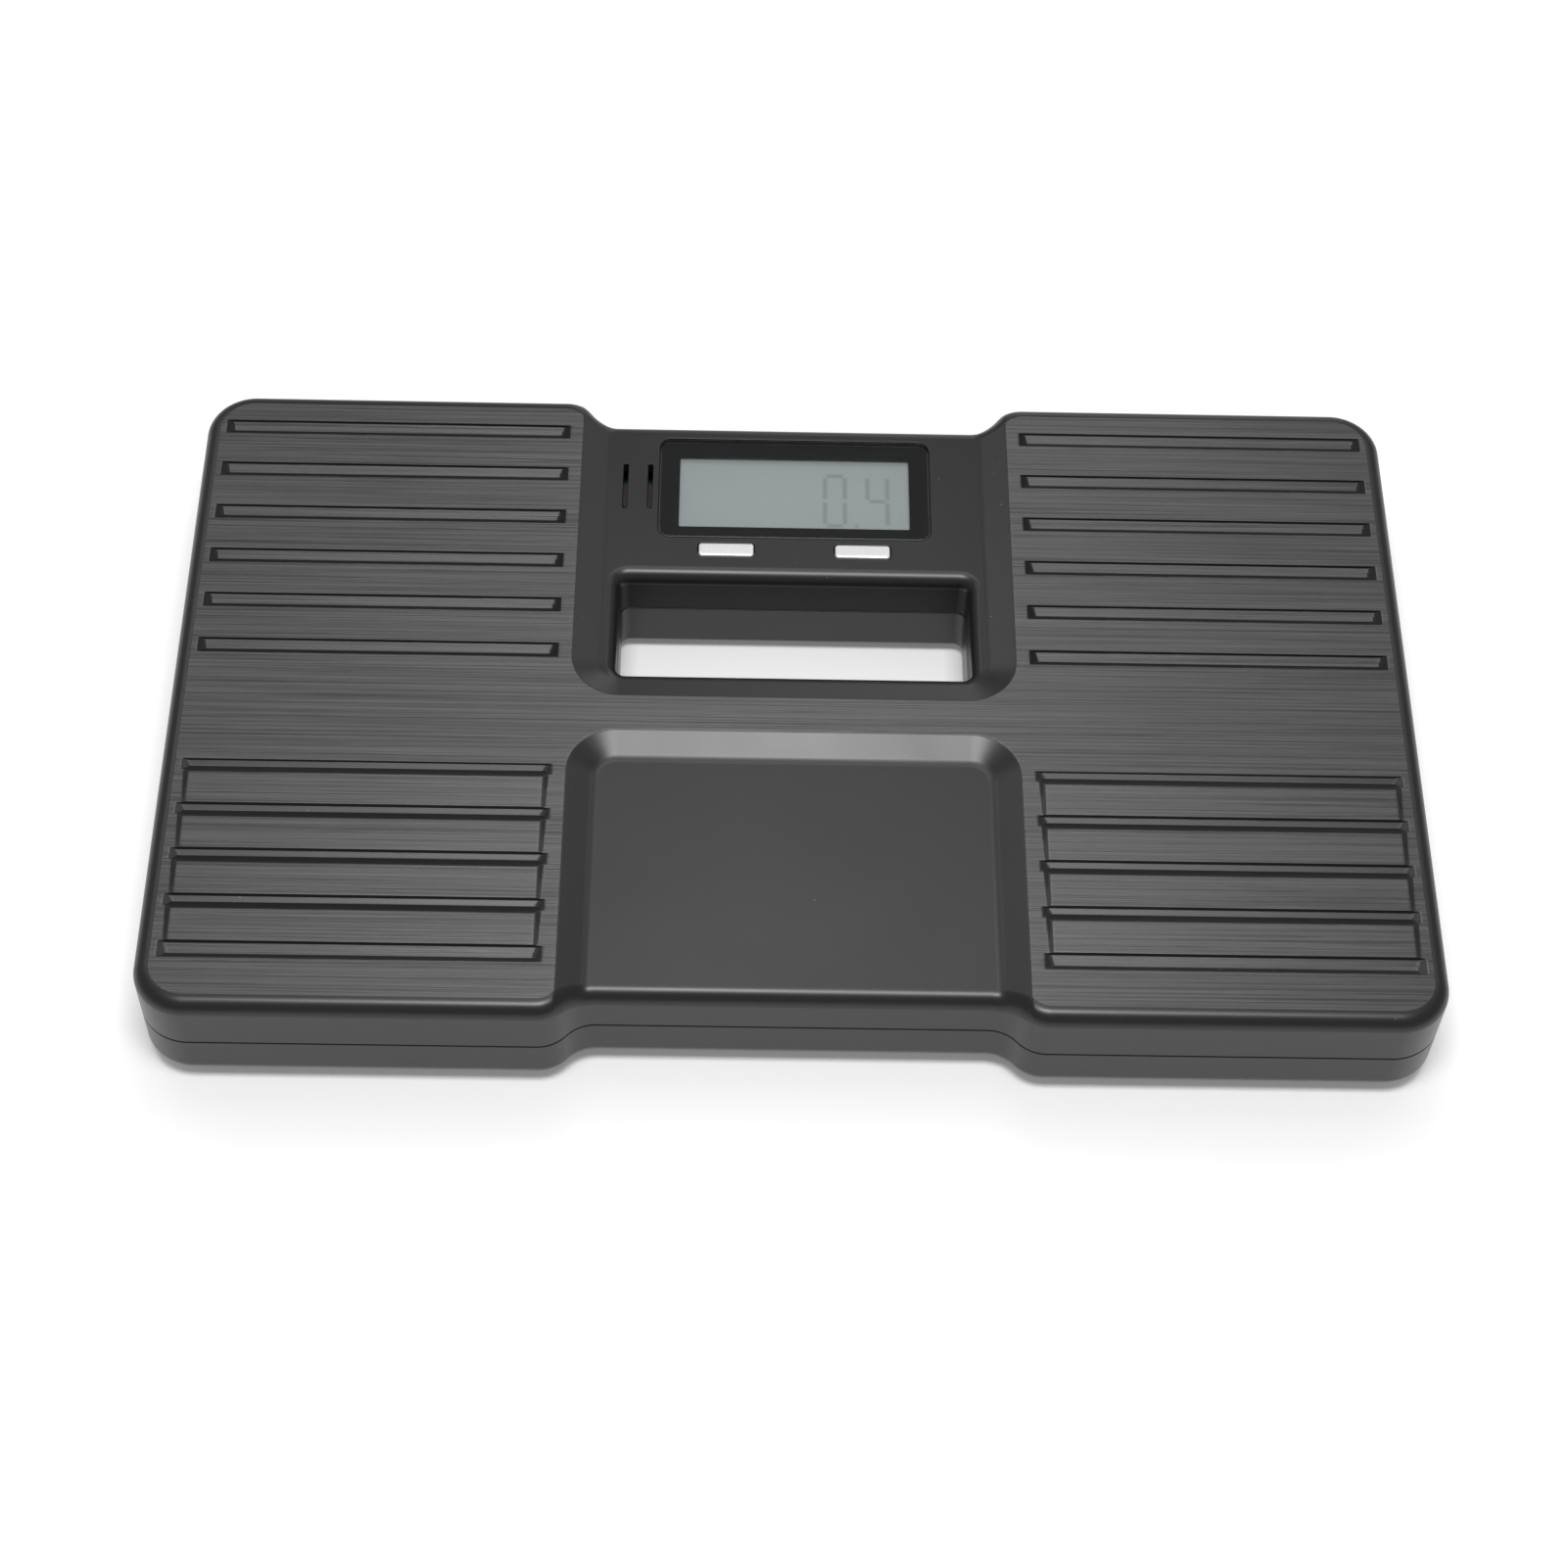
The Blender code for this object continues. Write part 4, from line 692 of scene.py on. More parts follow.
def brushed_black_painted_sheen():
    """The same plastic with hairlines moulded along X, and a few longer, deeper ones. The hairlines' lighter
    colour is painted sheen that stands in for the light they catch. The long deep lines stay dark.
    """
    look = Look("brushed_black_painted_sheen", (0.022, 0.022, 0.0225), 0.42, Anisotropic=0.7, Specular_IOR_Level=0.78)
    across = look.node("ShaderNodeCombineXYZ")
    across.inputs["Y"].default_value = 1.0
    look.join(across.outputs[0], look.shader.inputs["Tangent"])
    broad = look.ramp(look.noise(1, 4.0, 0.7, (6, 620, 250)), 0.40, 0.60)
    middle = look.ramp(look.noise(1, 3.0, 0.75, (9, 1900, 400), (3.1, 0.7, 0.0)), 0.43, 0.57)
    fine = look.ramp(look.noise(1, 2.0, 0.7, (16, 3600, 900), (7.3, 1.9, 0.0)), 0.40, 0.60)
    rare = look.ramp(look.noise(1, 1.0, 0.4, (4, 900, 120), (1.7, 5.2, 0.0)), 0.64, 0.67)
    cloudy = look.noise(30, 3.0, 0.5)
    lines = look.math("ADD", look.math("MULTIPLY", broad, 0.15), look.math("MULTIPLY", middle, 0.45))
    lines = look.math("ADD", lines, look.math("MULTIPLY", fine, 0.4))
    # Painted sheen: the hairline pattern lightens the colour where the lines would catch light.
    tone = look.mix(lines, (0.0, 0.0, 0.0005), (0.058, 0.058, 0.0585))
    look.colour(look.mix(look.math("MULTIPLY", rare, 0.8), tone, (0.003, 0.003, 0.003)))
    rough = look.math("ADD", look.math("MULTIPLY", lines, 0.8), look.math("MULTIPLY", cloudy, 0.2))
    look.roughness(look.ramp(rough, 0.1, 0.9, 0.34, 0.48))
    deep = look.math("SUBTRACT", broad, look.math("MULTIPLY", rare, 1.5))
    look.bump([(deep, 0.00003, 0.8), (middle, 0.00002, 0.9), (fine, 0.00001, 0.8)])
    return look.material


def clear_lens(name, outer):
    """Clear sheet: what is behind it shows straight through. The outer face mirrors by the Fresnel law.

    The inner faces mirror a fixed share: light isn't bent here, so the law would turn it back at a low angle.
    """
    look = Look(name, (0.96, 0.97, 0.97), 0.05)
    look.nodes.remove(look.shader)
    through = look.node("ShaderNodeBsdfTransparent")
    through.inputs["Color"].default_value = (0.93, 0.94, 0.94, 1.0)
    look.shader = look.node("ShaderNodeBsdfGlossy")
    look.roughness(look.ramp(look.noise(60, 2.0, 0.5), 0.3, 0.7, 0.03, 0.07))
    look.bump([(look.noise(15, 2.0, 0.5), 0.00001, 0.2)])
    mix = look.node("ShaderNodeMixShader")
    mix.inputs[0].default_value = LENS_INNER_MIRROR
    if outer:
        share = look.node("ShaderNodeFresnel")
        share.inputs["IOR"].default_value = LENS_IOR
        look.join(share.outputs[0], mix.inputs[0])
    look.join(through.outputs[0], mix.inputs[1])
    look.join(look.shader.outputs[0], mix.inputs[2])
    look.join(mix.outputs[0], look.nodes["Material Output"].inputs["Surface"])
    return look.material


def printed_black():
    look = Look("printed_black", (0.008, 0.008, 0.009), 0.4, Specular_IOR_Level=0.1)
    look.roughness(look.ramp(look.noise(900, 2.0, 0.5), 0.3, 0.7, 0.35, 0.48))
    look.bump([(look.noise(2500, 1.0, 0.5), 0.00001, 0.1)])
    return look.material


def digit_bars(centre_x, centre_y, lit):
    """The lit bars of a seven-segment digit, as (x, y, half width, half height)."""
    wide, tall = DIGIT_HALF[0], DIGIT_HALF[1] / 2
    thick = DIGIT_STROKE / 2
    across, upright = wide - DIGIT_GAP[0], tall - DIGIT_GAP[1]
    bars = {
        "a": (0, 2 * tall, across, thick),
        "d": (0, -2 * tall, across, thick),
        "g": (0, 0, across, thick),
        "f": (-wide, tall, thick, upright),
        "b": (wide, tall, thick, upright),
        "e": (-wide, -tall, thick, upright),
        "c": (wide, -tall, thick, upright),
    }
    return [(centre_x + bars[s][0], centre_y + bars[s][1], bars[s][2], bars[s][3]) for s in lit]


def liquid_crystal():
    """Grey-green reflective screen with the faint shadow of a reading."""
    look = Look("liquid_crystal", (0.26, 0.29, 0.29), 0.32)
    grain = look.noise(9000, 1.0, 0.5)
    tone = look.mix(grain, (0.44, 0.465, 0.47), (0.47, 0.495, 0.50))
    separate = look.node("ShaderNodeSeparateXYZ")
    look.join(look.place, separate.inputs[0])
    x, y = separate.outputs[0], separate.outputs[1]
    segments = []
    for column, lit in DIGITS:
        segments += digit_bars(column, DIGIT_Y, lit)
    segments.append((POINT_X, DIGIT_Y - DIGIT_HALF[1], POINT_HALF, POINT_HALF))
    mask = None
    for sx, sy, half_x, half_y in segments:
        past = []
        for along, centre, half in ((x, sx, half_x), (y, sy, half_y)):
            off = look.math("ABSOLUTE", look.math("SUBTRACT", along, centre * MM))
            past.append(look.math("SUBTRACT", off, half * MM))
        inside = look.ramp(look.math("MAXIMUM", *past), DIGIT_BLUR * MM, -DIGIT_BLUR * MM)
        mask = inside if mask is None else look.math("MAXIMUM", mask, inside)
    look.colour(look.mix(look.math("MULTIPLY", mask, 0.32), tone, (0.10, 0.105, 0.11)))
    look.roughness(look.ramp(grain, 0.3, 0.7, 0.28, 0.36))
    look.bump([(grain, 0.000005, 0.1)])
    return look.material


def silver_paint():
    look = Look("silver_paint", (0.82, 0.82, 0.83), 0.3, Metallic=0.55)
    flakes = look.noise(9000, 2.0, 0.6)
    brushed = look.noise(1, 2.0, 0.6, (2600, 120, 400))
    look.colour(look.mix(brushed, (0.74, 0.74, 0.75), (0.88, 0.88, 0.89)))
    look.roughness(look.ramp(flakes, 0.3, 0.7, 0.24, 0.36))
    look.bump([(brushed, 0.00003, 0.3), (flakes, 0.00001, 0.2)])
    return look.material


def soft_rubber():
    look = Look("soft_rubber", (0.035, 0.035, 0.036), 0.78)
    grain = look.noise(2600, 3.0, 0.6)
    look.colour(look.mix(look.noise(160, 3.0, 0.6), (0.028, 0.028, 0.029), (0.048, 0.047, 0.046)))
    look.roughness(look.ramp(grain, 0.3, 0.7, 0.7, 0.86))
    look.bump([(grain, 0.00005, 0.4)])
    return look.material


def plated_steel():
    look = Look("plated_steel", (0.62, 0.62, 0.62), 0.3, Metallic=1.0)
    grain = look.noise(1500, 3.0, 0.6)
    look.colour(look.mix(grain, (0.54, 0.54, 0.53), (0.70, 0.70, 0.70)))
    look.roughness(look.ramp(look.noise(300, 3.0, 0.6), 0.3, 0.7, 0.24, 0.4))
    look.bump([(grain, 0.00002, 0.25)])
    return look.material


def battery_sleeve():
    """A plain dark sleeve, slightly worn."""
    look = Look("battery_sleeve", (0.05, 0.05, 0.06), 0.28)
    wear = look.noise(400, 3.0, 0.6)
    look.colour(look.mix(wear, (0.040, 0.042, 0.05), (0.062, 0.063, 0.07)))
    look.roughness(look.ramp(wear, 0.3, 0.7, 0.22, 0.36))
    look.bump([(look.noise(3000, 2.0, 0.5), 0.00001, 0.15)])
    return look.material


def moulded(name, colour, roughness, spread=0.15):
    """Plain moulded or coated stuff, with a fine grain."""
    look = Look(name, colour, roughness)
    grain = look.noise(2200, 3.0, 0.6)
    darker, lighter = (tuple(c * share for c in colour) for share in (1 - spread, 1 + spread))
    look.colour(look.mix(grain, darker, lighter))
    look.roughness(look.ramp(grain, 0.3, 0.7, roughness * 0.88, roughness * 1.12))
    look.bump([(grain, 0.00002, 0.25)])
    return look.material


def floor_white():
    look = Look("floor_white", (0.93, 0.93, 0.93), 0.55)
    grain = look.noise(300, 3.0, 0.6)
    look.colour(look.mix(grain, (0.925, 0.925, 0.925), (0.935, 0.935, 0.935)))
    look.shader.inputs["Emission Color"].default_value = (1.0, 1.0, 1.0, 1.0)
    look.shader.inputs["Emission Strength"].default_value = FLOOR_GLOW
    return look.material


# The top cover's looks, by their number in its list of materials.
PLAIN, HAIRLINED, MATT_SHADED = 0, 1, 2
BRUSHED_SLOPE = 0.22  # steeper faces of the grooves have no hairlines

SATIN = satin_black()
DULL_SHADED = matt_black_painted_shade()
BRUSHED_SHEEN = brushed_black_painted_sheen()
LENS = clear_lens("clear_lens", True)
LENS_INSIDE = clear_lens("lens_inside", False)
# The lens's bevelled rim gets an opaque light grey: a painted highlight that stands in for the bright line
# along the clear rim.
RIM_HIGHLIGHT = moulded("lens_rim_painted_highlight", (0.35, 0.36, 0.36), 0.3)
PRINT = printed_black()
SCREEN = liquid_crystal()
SILVER = silver_paint()
RUBBER = soft_rubber()
STEEL = plated_steel()
SLEEVE = battery_sleeve()
WHITE = moulded("white_plastic", (0.75, 0.75, 0.72), 0.5, 0.04)
BOARD = moulded("board_green", (0.01, 0.07, 0.028), 0.4)
EPOXY = moulded("epoxy", (0.01, 0.01, 0.01), 0.22)
CABLE = moulded("cable_grey", (0.22, 0.22, 0.22), 0.5)
RED = moulded("wire_red", (0.45, 0.02, 0.02), 0.42)
BLACK = moulded("wire_black", (0.02, 0.02, 0.02), 0.42)
INNER = moulded("inner_black", (0.02, 0.02, 0.02), 0.6)


# Covers -------------------------------------------------------------------------------------------


def spread(middle, offsets):
    return [middle + offset for offset in offsets]


def groove_lines(edge, width, tread):
    """Where the height bends across a groove, in Y."""
    foot = edge - width + GROOVE_RAMP * GROOVE_DEPTH
    lines = spread(edge, (0.3, 0.12, 0.05, 0.0, -0.06, -0.12, -0.18, -0.24, -0.30, -0.36, -0.5))
    lines += spread(foot, (0.4, 0.25, 0.12, 0.0, -0.12, -0.25, -0.4))
    lines += spread(edge - width, (0.5, 0.25, 0.12, 0.0, -0.12, -0.25, -0.5))
    lines += [(edge - 0.5 + foot + 0.4) / 2]
    if tread:
        lines += spread(edge - width - 1.15, (0.35, 0.2, 0.1, 0.0, -0.1, -0.2, -0.35, -0.6))
        lines += [edge - width - 4.0]
    return sorted(lines)


def groove_columns():
    """Where the height bends along a groove, in X, on the right wing."""
    near = [-0.9, -0.5, -0.2, 0.0, 0.2, 0.4, 0.6, 0.8, 1.0, 1.2, 1.4, 1.6, 1.8, 2.0, 2.2, 2.4, 2.7, 3.2]
    inner = [GROOVE_X[0] + offset for offset in near]
    outer = [GROOVE_X[1] - offset for offset in reversed(near)]
    between = list(np.linspace(inner[-1], outer[0], 6)[1:-1])
    return inner + between + outer


def top_cover():
    rim = PARTING + GAP / 2
    ledge = CONSOLE_TOP - 1.8
    low = CONSOLE_TOP - 3.1
    edges = [
        Edge(outline_distance, body_outline, TOP_FILLET, 12, wall_down(rim, 2.2)),
        hole_edge((0, HOLE_Y), HOLE_HALF, HOLE_CORNER, HOLE_FLARE, 10, wall_down(rim, 1.0)),
        hole_edge(
            (0, LENS_Y),
            [h + GAP for h in LENS_HALF],
            LENS_CORNER + GAP,
            0.22,
            3,
            [(0, ledge, 0), (0, ledge, -90), (2.6, ledge, -90)],
        ),
    ]
    wall = [(0, low, 0), (0, low, 90), (-0.8, low, 90)]
    for sx in (-1, 1):
        half = [h + GAP for h in BUTTON_HALF]
        edges.append(hole_edge((sx * BUTTON_X, BUTTON_Y), half, BUTTON_CORNER + GAP, 0.2, 3, wall, 5))
    for x in SLOTS:
        edges.append(hole_edge((x, SLOT_Y), SLOT_HALF, 0.62, 0.16, 3, wall, 5))
    lines = []
    for edge, towards, _, width in FIELDS:
        head, foot = FIELD_ROUND
        grows = list(np.linspace(head / 2, -head / 2, 5)) + list(np.linspace(foot / 2, -foot / 2, 8) - width)
        grows += [-width * 0.35, -width * 0.6]
        lines += [field_line(edge, towards, grow) for grow in grows]
    grids = []
    columns = groove_columns()
    for edge, width in zip(BACK_EDGES + FRONT_EDGES, GROOVE_WIDTHS):
        rows = groove_lines(edge, width, tread=width == TREAD_GROOVE_WIDTH)
        grids.append((columns, rows))
        grids.append(([-x for x in reversed(columns)], rows))

    def choose(x, y):
        step = 0.05
        steep = np.abs(wing_relief(x, y + step) - wing_relief(x, y - step)) / (2 * step)
        steep += np.abs(wing_relief(x + step, y) - wing_relief(x - step, y)) / (2 * step)
        plateau = outline_distance(x, y)[0] > TOP_FILLET - 0.02
        for edge, towards, _, _ in FIELDS:
            plateau &= field_distance(x, y, edge, towards) > 0
        # The steep faces of the back grooves take the darker look, which paints their shade.
        ramps = np.where(y > max(FRONT_EDGES) + 2.0, MATT_SHADED, PLAIN)
        return np.where(plateau, np.where(steep < BRUSHED_SLOPE, HAIRLINED, ramps), PLAIN)

    looks = [SATIN, BRUSHED_SHEEN, DULL_SHADED]
    # The hand hole's wall also takes the darker painted-shade look.
    cover = skin("top_shell", "body", looks, top_height, edges, lines, grids, choose, walls=(PLAIN, MATT_SHADED))
    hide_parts("top_cover")


def bottom_cover():
    rim = PARTING - GAP / 2
    inner = UNDERSIDE + 2.2
    seat = UNDERSIDE + 5.2
    outer_wall = wall_down(rim, 2.5, -1) + [(-2.5, rim, 0), (-2.5, rim + 1.8, 0)]
    hole_wall = wall_down(rim, 1.4, -1) + [(-1.4, rim, 0), (-1.4, rim + 1.2, 0)]
    edges = [
        Edge(outline_distance, body_outline, BOTTOM_FILLET, 12, outer_wall),
        hole_edge((0, HOLE_Y), HOLE_HALF, HOLE_CORNER, HOLE_LOWER_FLARE, 6, hole_wall),
        hole_edge((0, BAY_Y), [h + GAP for h in DOOR_HALF], 1.0, 0.25, 3, [(0, inner + 0.1, 0)], 5),
    ]
    for place in FOOT_PLACES:
        edges.append(hole_edge(place, (FOOT_HOLE, FOOT_HOLE), FOOT_HOLE, 0.5, 4, [(0, inner, 0)], 16))
    for place in SCREW_PLACES.values():
        wall = [(0, seat, 0), (0, seat, -90), (1.3, seat, -90)]
        edges.append(hole_edge(place, (SCREW_HOLE, SCREW_HOLE), SCREW_HOLE, 0.35, 3, wall, 8))

    def plain(x, _):
        return np.zeros_like(x, int)

    cover = skin("bottom_shell", "body", [SATIN], flat_height, edges, [], [], plain, down=True)
    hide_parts("bottom_cover")


def battery_bay():
    """The inside of the bay, seen when the door is open."""
    low, high = UNDERSIDE + 2.25, UNDERSIDE + 14.9
    outer = (DOOR_HALF[0] + 2.2, DOOR_HALF[1] + 4.5)
    rings = [raised(rounded(0, BAY_Y, outer, 2.0, 4), z) for z in (low, high)]
    bay = lofted("battery_bay", "body", rings, SATIN)
    rings = [raised(rounded(0, BAY_Y, BAY_HALF, 1.0, 5), z) for z in (low - 3, high - 1.2)]
    hollow = lofted("hollow", "body", rings, SATIN)
    front = BAY_Y - DOOR_HALF[1]
    cuts = [hollow]
    for sx in (-1, 1):
        x, half = sx * TONGUE_X, TONGUE_HALF + 0.6
        start, end = (x - half, front - 3.6, low - 1), (x + half, BAY_Y, low + 4.4)
        cuts.append(block("notch", "body", start, end, SATIN))
    half, back = LATCH_HALF + 0.6, BAY_Y + DOOR_HALF[1]
    cuts.append(block("notch", "body", (-half, BAY_Y, low - 1), (half, back + 1.0, low + 5.4), SATIN))
    boolean(bay, cuts)
    soft_edges(bay, 0.3, 2)
    shade(bay)


# Small pieces -------------------------------------------------------------------------------------


def grown(half, corner, grow, z):
    """A rounded rectangle round the middle of the lens, grown all round."""
    return raised(rounded(0, LENS_Y, [h + grow for h in half], corner + grow), z)


def display():
    low, high = LENS_LOW.z, LENS_HIGH.z
    levels = [(-0.2, low), (-0.05, low + 0.05), (0, low + 0.2)]
    levels += [(grow, low + high - z) for grow, z in reversed(levels)]
    rings = [grown(LENS_HALF, LENS_CORNER, grow, z) for grow, z in levels]
    lens = lofted("display_window", "body", rings, LENS)
    lens.data.materials.append(RIM_HIGHLIGHT)
    lens.data.materials.append(LENS_INSIDE)
    # Faces that face down take the inner lens look. The bevelled rim faces take the light grey painted
    # highlight.
    for face in lens.data.polygons:
        if face.normal.z < 0.1:
            face.material_index = 2
        elif face.normal.z < 0.9:
            face.material_index = 1
    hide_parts("display_lens")
    outer = rounded(0, LENS_Y, [h - 0.25 for h in LENS_HALF], LENS_CORNER - 0.25)
    inner = rounded(0, LENS_Y, WINDOW_HALF, 0.5)
    z0, z1 = low - 0.06, low - 0.02
    count = len(outer)
    vertices = [*raised(outer, z0), *raised(inner, z0), *raised(outer, z1), *raised(inner, z1)]
    faces = []
    for i in range(count):
        j = (i + 1) % count
        o, n, up, nu = 0, count, 2 * count, 3 * count
        faces += [
            (up + i, up + j, nu + j, nu + i),
            (o + j, o + i, n + i, n + j),
            (o + i, o + j, up + j, up + i),
            (n + j, n + i, nu + i, nu + j),
        ]
    border = object_from("display_border", mesh_of("display_border", vertices, faces), "body")
    border.data.materials.append(PRINT)
    shade(border)
    low, high = box_mm("lcd_glass")
    half = ((high.x - low.x) / 2, (high.y - low.y) / 2)
    levels = [(0, low.z), (0, high.z - 0.15), (-0.15, high.z)]
    rings = [grown(half, 0.6, grow, z) for grow, z in levels]
    screen = lofted("screen_panel", "body", rings, SCREEN)
    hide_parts("lcd_glass")


def buttons():
    for side, sx in (("left", -1), ("right", 1)):
        node = f"button_{side}"
        low, high = box_mm(node)
        centre = (sx * BUTTON_X, BUTTON_Y)
        flange_top = low.z + 0.8
        levels = [
            (1.0, low.z),
            (1.0, flange_top - 0.1),
            (0.9, flange_top),
            (0.0, flange_top),
            (0.0, high.z - 0.45),
            (-0.04, high.z - 0.28),
            (-0.13, high.z - 0.14),
            (-0.28, high.z - 0.05),
            (-0.5, high.z - 0.01),
            (-0.7, high.z),
        ]
        rings = [
            raised(rounded(*centre, [h + grow for h in BUTTON_HALF], max(BUTTON_CORNER + grow, 0.12), 5), z)
            for grow, z in levels
        ]
        cap = lofted(f"button_cap_{side}", node, rings, SILVER, angle=50)
        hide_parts(node)


def screws():
    """Recessed pan heads with a cross slot."""
    for place, (x, y) in SCREW_PLACES.items():
        node = f"case_screw_{place}"
        low, high = box_mm(node)
        length = high.z - low.z
        head = [(0, 0), (1.9, 0.0), (2.35, 0.12), (2.65, 0.4), (2.8, 0.85)]
        head += [(2.8, 1.75), (2.75, 1.8), (1.5, 1.8)]
        thread = []
        level = 2.2
        while level < length - 1.6:
            thread += [(1.2, level), (1.48, level + 0.45), (1.2, level + 0.9)]
            level += 0.9
        profile = [*head, *thread, (0.9, length - 0.6), (0, length)]
        screw = turned(f"screw_{place}", "body", profile, (x, y, low.z), STEEL, 40)
        cuts = []
        for turn in (0.35, 0.35 + math.pi / 2):
            slot_block = block("slot", "body", (-1.75, -0.28, -0.5), (1.75, 0.28, 1.0), STEEL)
            head_place = Matrix.Translation((x * MM, y * MM, low.z * MM))
            slot_block.data.transform(head_place @ Matrix.Rotation(turn, 4, "Z"))
            cuts.append(slot_block)
        boolean(screw, cuts)
        soft_edges(screw, 0.05, 1)
        shade(screw)
        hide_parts(node)


def feet():
    for name in ("front_left", "front_right", "back_left", "back_right"):
        low, high = box_mm(f"foot_{name}")
        x, y = (low.x + high.x) / 2, (low.y + high.y) / 2
        profile = [
            (0, 2.3),
            (12.3, 2.3),
            (12.3, 1.25),
            (12.45, 1.07),
            (12.65, 1.0),
            (13.7, 1.0),
            (14.1, 1.12),
            (14.4, 1.42),
            (14.5, 1.8),
            (14.5, 5.5),
            (16.5, 5.5),
            (16.5, 6.5),
            (4.0, 7.0),
            (4.0, high.z),
            (0, high.z),
        ]
        foot = turned(f"foot_cup_{name}", "body", profile, (x, y, 0), SATIN, 96)
        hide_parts(f"foot_{name}")
        rings = [(0, 0.25)]
        for radius in (2.2, 4.6, 7.0, 9.4):
            rings += [(radius - 0.55, 0.25), (radius - 0.35, 0.0)]
            rings += [(radius + 0.95, 0.0), (radius + 1.15, 0.25)]
        rings += [(10.9, 0.25), (11.05, 0.05), (11.2, 0.0), (11.6, 0.0)]
        rings += [(11.88, 0.12), (12.0, 0.4), (12.0, 2.0), (0, 2.0)]
        pad = turned(f"foot_tread_{name}", "body", rings, (x, y, 0), RUBBER, 96)
        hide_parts(f"foot_pad_{name}")


def door():
    """The battery door: a flush plate with tongues, a latch, a finger groove and grip ribs."""
    bottom, top = UNDERSIDE, UNDERSIDE + 2.0
    levels = [(-0.3, bottom), (-0.09, bottom + 0.09), (0, bottom + 0.3), (0, top - 0.2), (-0.2, top)]
    rings = [raised(rounded(0, BAY_Y, [h + grow for h in DOOR_HALF], 0.8 + grow, 5), z) for grow, z in levels]
    plate = lofted("door_plate", "battery_door", rings, SATIN)
    front, back = BAY_Y - DOOR_HALF[1], BAY_Y + DOOR_HALF[1]
    low, high = (-LATCH_HALF, back - 4.6, bottom - 1), (LATCH_HALF, back - 3.2, bottom + 0.8)
    cuts = [block("groove", "body", low, high, SATIN)]
    for i in range(5):
        y = back - 6.4 - 1.5 * i
        half = 6.0 - 0.9 * i
        low, high = (-half, y - 0.35, bottom - 1), (half, y + 0.35, bottom + 0.35)
        cuts.append(block("groove", "body", low, high, SATIN))
    boolean(plate, cuts)
    joins = []
    lift = bottom + 2.5
    for sx in (-1, 1):
        x0, x1 = sx * TONGUE_X - TONGUE_HALF, sx * TONGUE_X + TONGUE_HALF
        for low_y, high_y, low_z in ((0.4, 3.0, bottom + 1), (-2.5, 1.0, lift)):
            low, high = (x0, front + low_y, low_z), (x1, front + high_y, lift + 1.2)
            joins.append(block("tongue", "body", low, high, SATIN))
    low, high = (-LATCH_HALF, back - 1.8, bottom + 1), (LATCH_HALF, back - 0.6, top + 5.0)
    joins.append(block("latch", "body", low, high, SATIN))
    boolean(plate, joins, "UNION")
    soft_edges(plate, 0.12, 2)
    shade(plate)
    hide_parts("battery_door")


def batteries():
    for row in ("front", "back"):
        low, high = box_mm(f"battery_{row}")
        flip = 1 if row == "front" else -1
        profile = [(0, 0), (3.6, 0.0), (4.5, 0.12), (4.9, 0.35), (5.1, 0.35), (5.22, 0.5)]
        profile += [(5.25, 0.8), (5.25, 42.0), (5.2, 42.3), (4.9, 42.55), (2.6, 42.6), (2.4, 42.9)]
        profile += [(1.9, 42.9), (1.9, 43.55), (1.75, 43.7), (0, 43.7)]
        cell = turned(f"battery_cell_{row}", "body", profile, (0, 0, 0), SLEEVE, 56)
        cell.data.materials.append(STEEL)
        for face in cell.data.polygons:
            height = face.center.z / MM
            if height < 0.4 or height > 42.56:
                face.material_index = 1
        start = low.x if flip == 1 else high.x
        place = Matrix.Translation((start * MM, (low.y + high.y) / 2 * MM, (low.z + high.z) / 2 * MM))
        cell.data.transform(place @ Matrix.Rotation(flip * math.pi / 2, 4, "Y"))
        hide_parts(f"battery_{row}")


SPRING_TURNS = 3
SPRING_RADII = (3.4, 2.0)  # at its seat and at its free end


def springs():
    for row, sign in (("front", -1), ("back", 1)):
        node = f"battery_spring_{row}"
        low, high = box_mm(node)
        wire = 0.3
        y = BAY_Y + sign * 5.6
        z = UNDERSIDE + 7.85
        wide = (high.x - low.x) - 2 * wire
        start = sign * (max(abs(low.x), abs(high.x)) - wire)
        curve = bpy.data.curves.new(f"spring_{row}", "CURVE")
        curve.dimensions = "3D"
        curve.bevel_depth = wire * MM
        curve.bevel_resolution = 3
        curve.use_fill_caps = True
        count = SPRING_TURNS * 24
        line = curve.splines.new("POLY")
        line.points.add(count)
        for i, point in enumerate(line.points):
            t = i / count
            radius = SPRING_RADII[0] + (SPRING_RADII[1] - SPRING_RADII[0]) * t
            turn = 2 * math.pi * SPRING_TURNS * t
            place = (start - sign * wide * t, y + radius * math.cos(turn), z + radius * math.sin(turn))
            point.co = (*(c * MM for c in place), 1.0)
        curve.materials.append(STEEL)
        piece = placed(f"spring_{row}", curve)
        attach(piece, "body")
        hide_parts(node)


def carried_over():
    """Materials for the CAD nodes that stay as they are."""
    looks = {
        "black_plastic": INNER,
        "white_plastic": WHITE,
        "rubber": RUBBER,
        "board": BOARD,
        "epoxy": EPOXY,
        "steel": STEEL,
        "cable": CABLE,
        "red_wire": RED,
        "black_wire": BLACK,
        "silver": SILVER,
        "battery": SLEEVE,
        "lens": LENS,
        "screen": SCREEN,
    }
    slots = {entry["node"]: entry["material_slot"] for entry in frame["record"]["subparts"]}
    for name, node in frame["nodes"].items():
        if node.hide_render:
            continue
        node.data.materials.clear()
        node.data.materials.append(looks[slots[name]])


# Studio -------------------------------------------------------------------------------------------

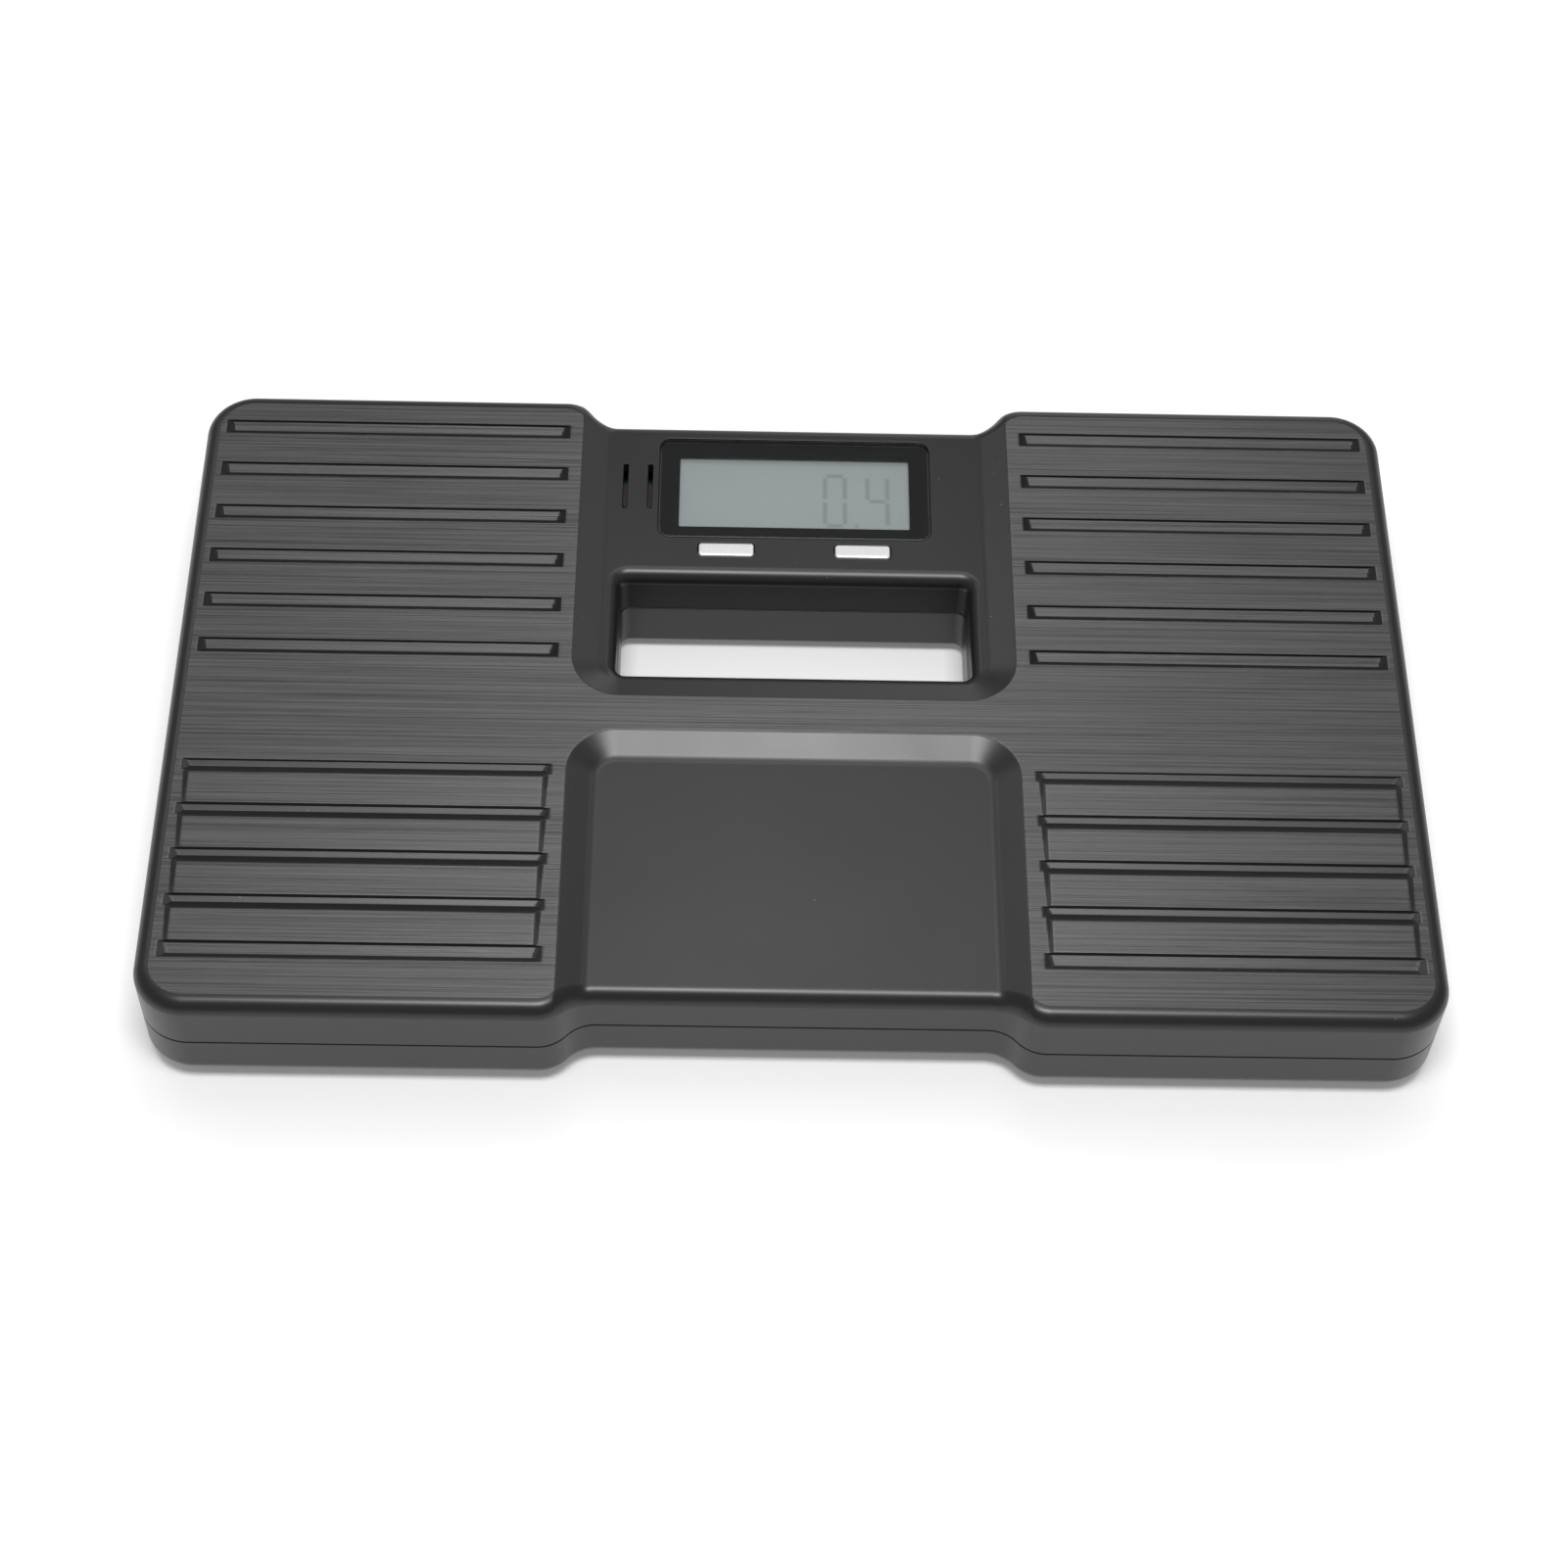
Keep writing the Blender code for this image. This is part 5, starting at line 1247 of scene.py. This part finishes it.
DOME = 1.3
SOFTBOXES = (  # name, way round from the right, height, size, radiance
    ("key", -90, 78, (0.5, 0.3), 22),
    ("top_back", 90, 64, (0.4, 0.3), 3.5),
    ("top", 90, 78, (0.5, 0.25), 2),
    ("back_right", 50, 45, (0.5, 0.3), 1.5),
    ("back_left", 130, 45, (0.5, 0.3), 2),
    ("back_low", 80, 22, (0.5, 0.3), 1.8),
)
WORLD_STRENGTH = 0.28
IMAGE_WIDTH = 1601
FOCAL_PIXELS = 3240.35
EYE = (-14.92, -467.84, 671.51)


def softbox(name, round_from_right, height, size, radiance):
    """An area light on a dome over the scale. Angles in degrees, sizes in metres."""
    turn, lift = math.radians(round_from_right), math.radians(height)
    towards = Vector((math.cos(turn) * math.cos(lift), math.sin(turn) * math.cos(lift), math.sin(lift)))
    light = bpy.data.lights.new(name, "AREA")
    light.shape = "RECTANGLE"
    light.size, light.size_y = size
    light.energy = radiance * size[0] * size[1] * math.pi
    made = placed(name, light)
    made.location = towards * DOME
    made.rotation_euler = (-towards).to_track_quat("-Z", "Y").to_euler()


def studio():
    bm = bmesh.new()
    bmesh.ops.create_grid(bm, x_segments=8, y_segments=8, size=3.0)
    mesh = bpy.data.meshes.new("floor")
    bm.to_mesh(mesh)
    bm.free()
    floor = placed("floor", mesh)
    floor.data.materials.append(floor_white())
    for light in SOFTBOXES:
        softbox(*light)
    world = bpy.data.worlds.new("studio")
    world.use_nodes = True
    world.node_tree.nodes["Background"].inputs["Color"].default_value = (1.0, 1.0, 1.0, 1.0)
    world.node_tree.nodes["Background"].inputs["Strength"].default_value = WORLD_STRENGTH
    bpy.context.scene.world = world
    bpy.context.scene.view_settings.view_transform = "Standard"


def camera():
    data = bpy.data.cameras.new("camera")
    data.sensor_width = 36.0
    data.lens = FOCAL_PIXELS / IMAGE_WIDTH * data.sensor_width
    data.clip_start = 0.01
    made = placed("camera", data)
    right = Vector((0.99975183, 0.00360411, 0.02198389))
    down = Vector((0.01542031, -0.82415991, -0.5661472))
    forward = Vector((0.01607779, 0.5663457, -0.82401096))
    turn = Matrix((right, -down, -forward)).transposed().to_4x4()
    made.matrix_world = Matrix.Translation(Vector(EYE) * MM) @ turn
    bpy.context.scene.camera = made


top_cover()
bottom_cover()
battery_bay()
display()
buttons()
screws()
feet()
door()
batteries()
springs()
carried_over()
studio()
camera()
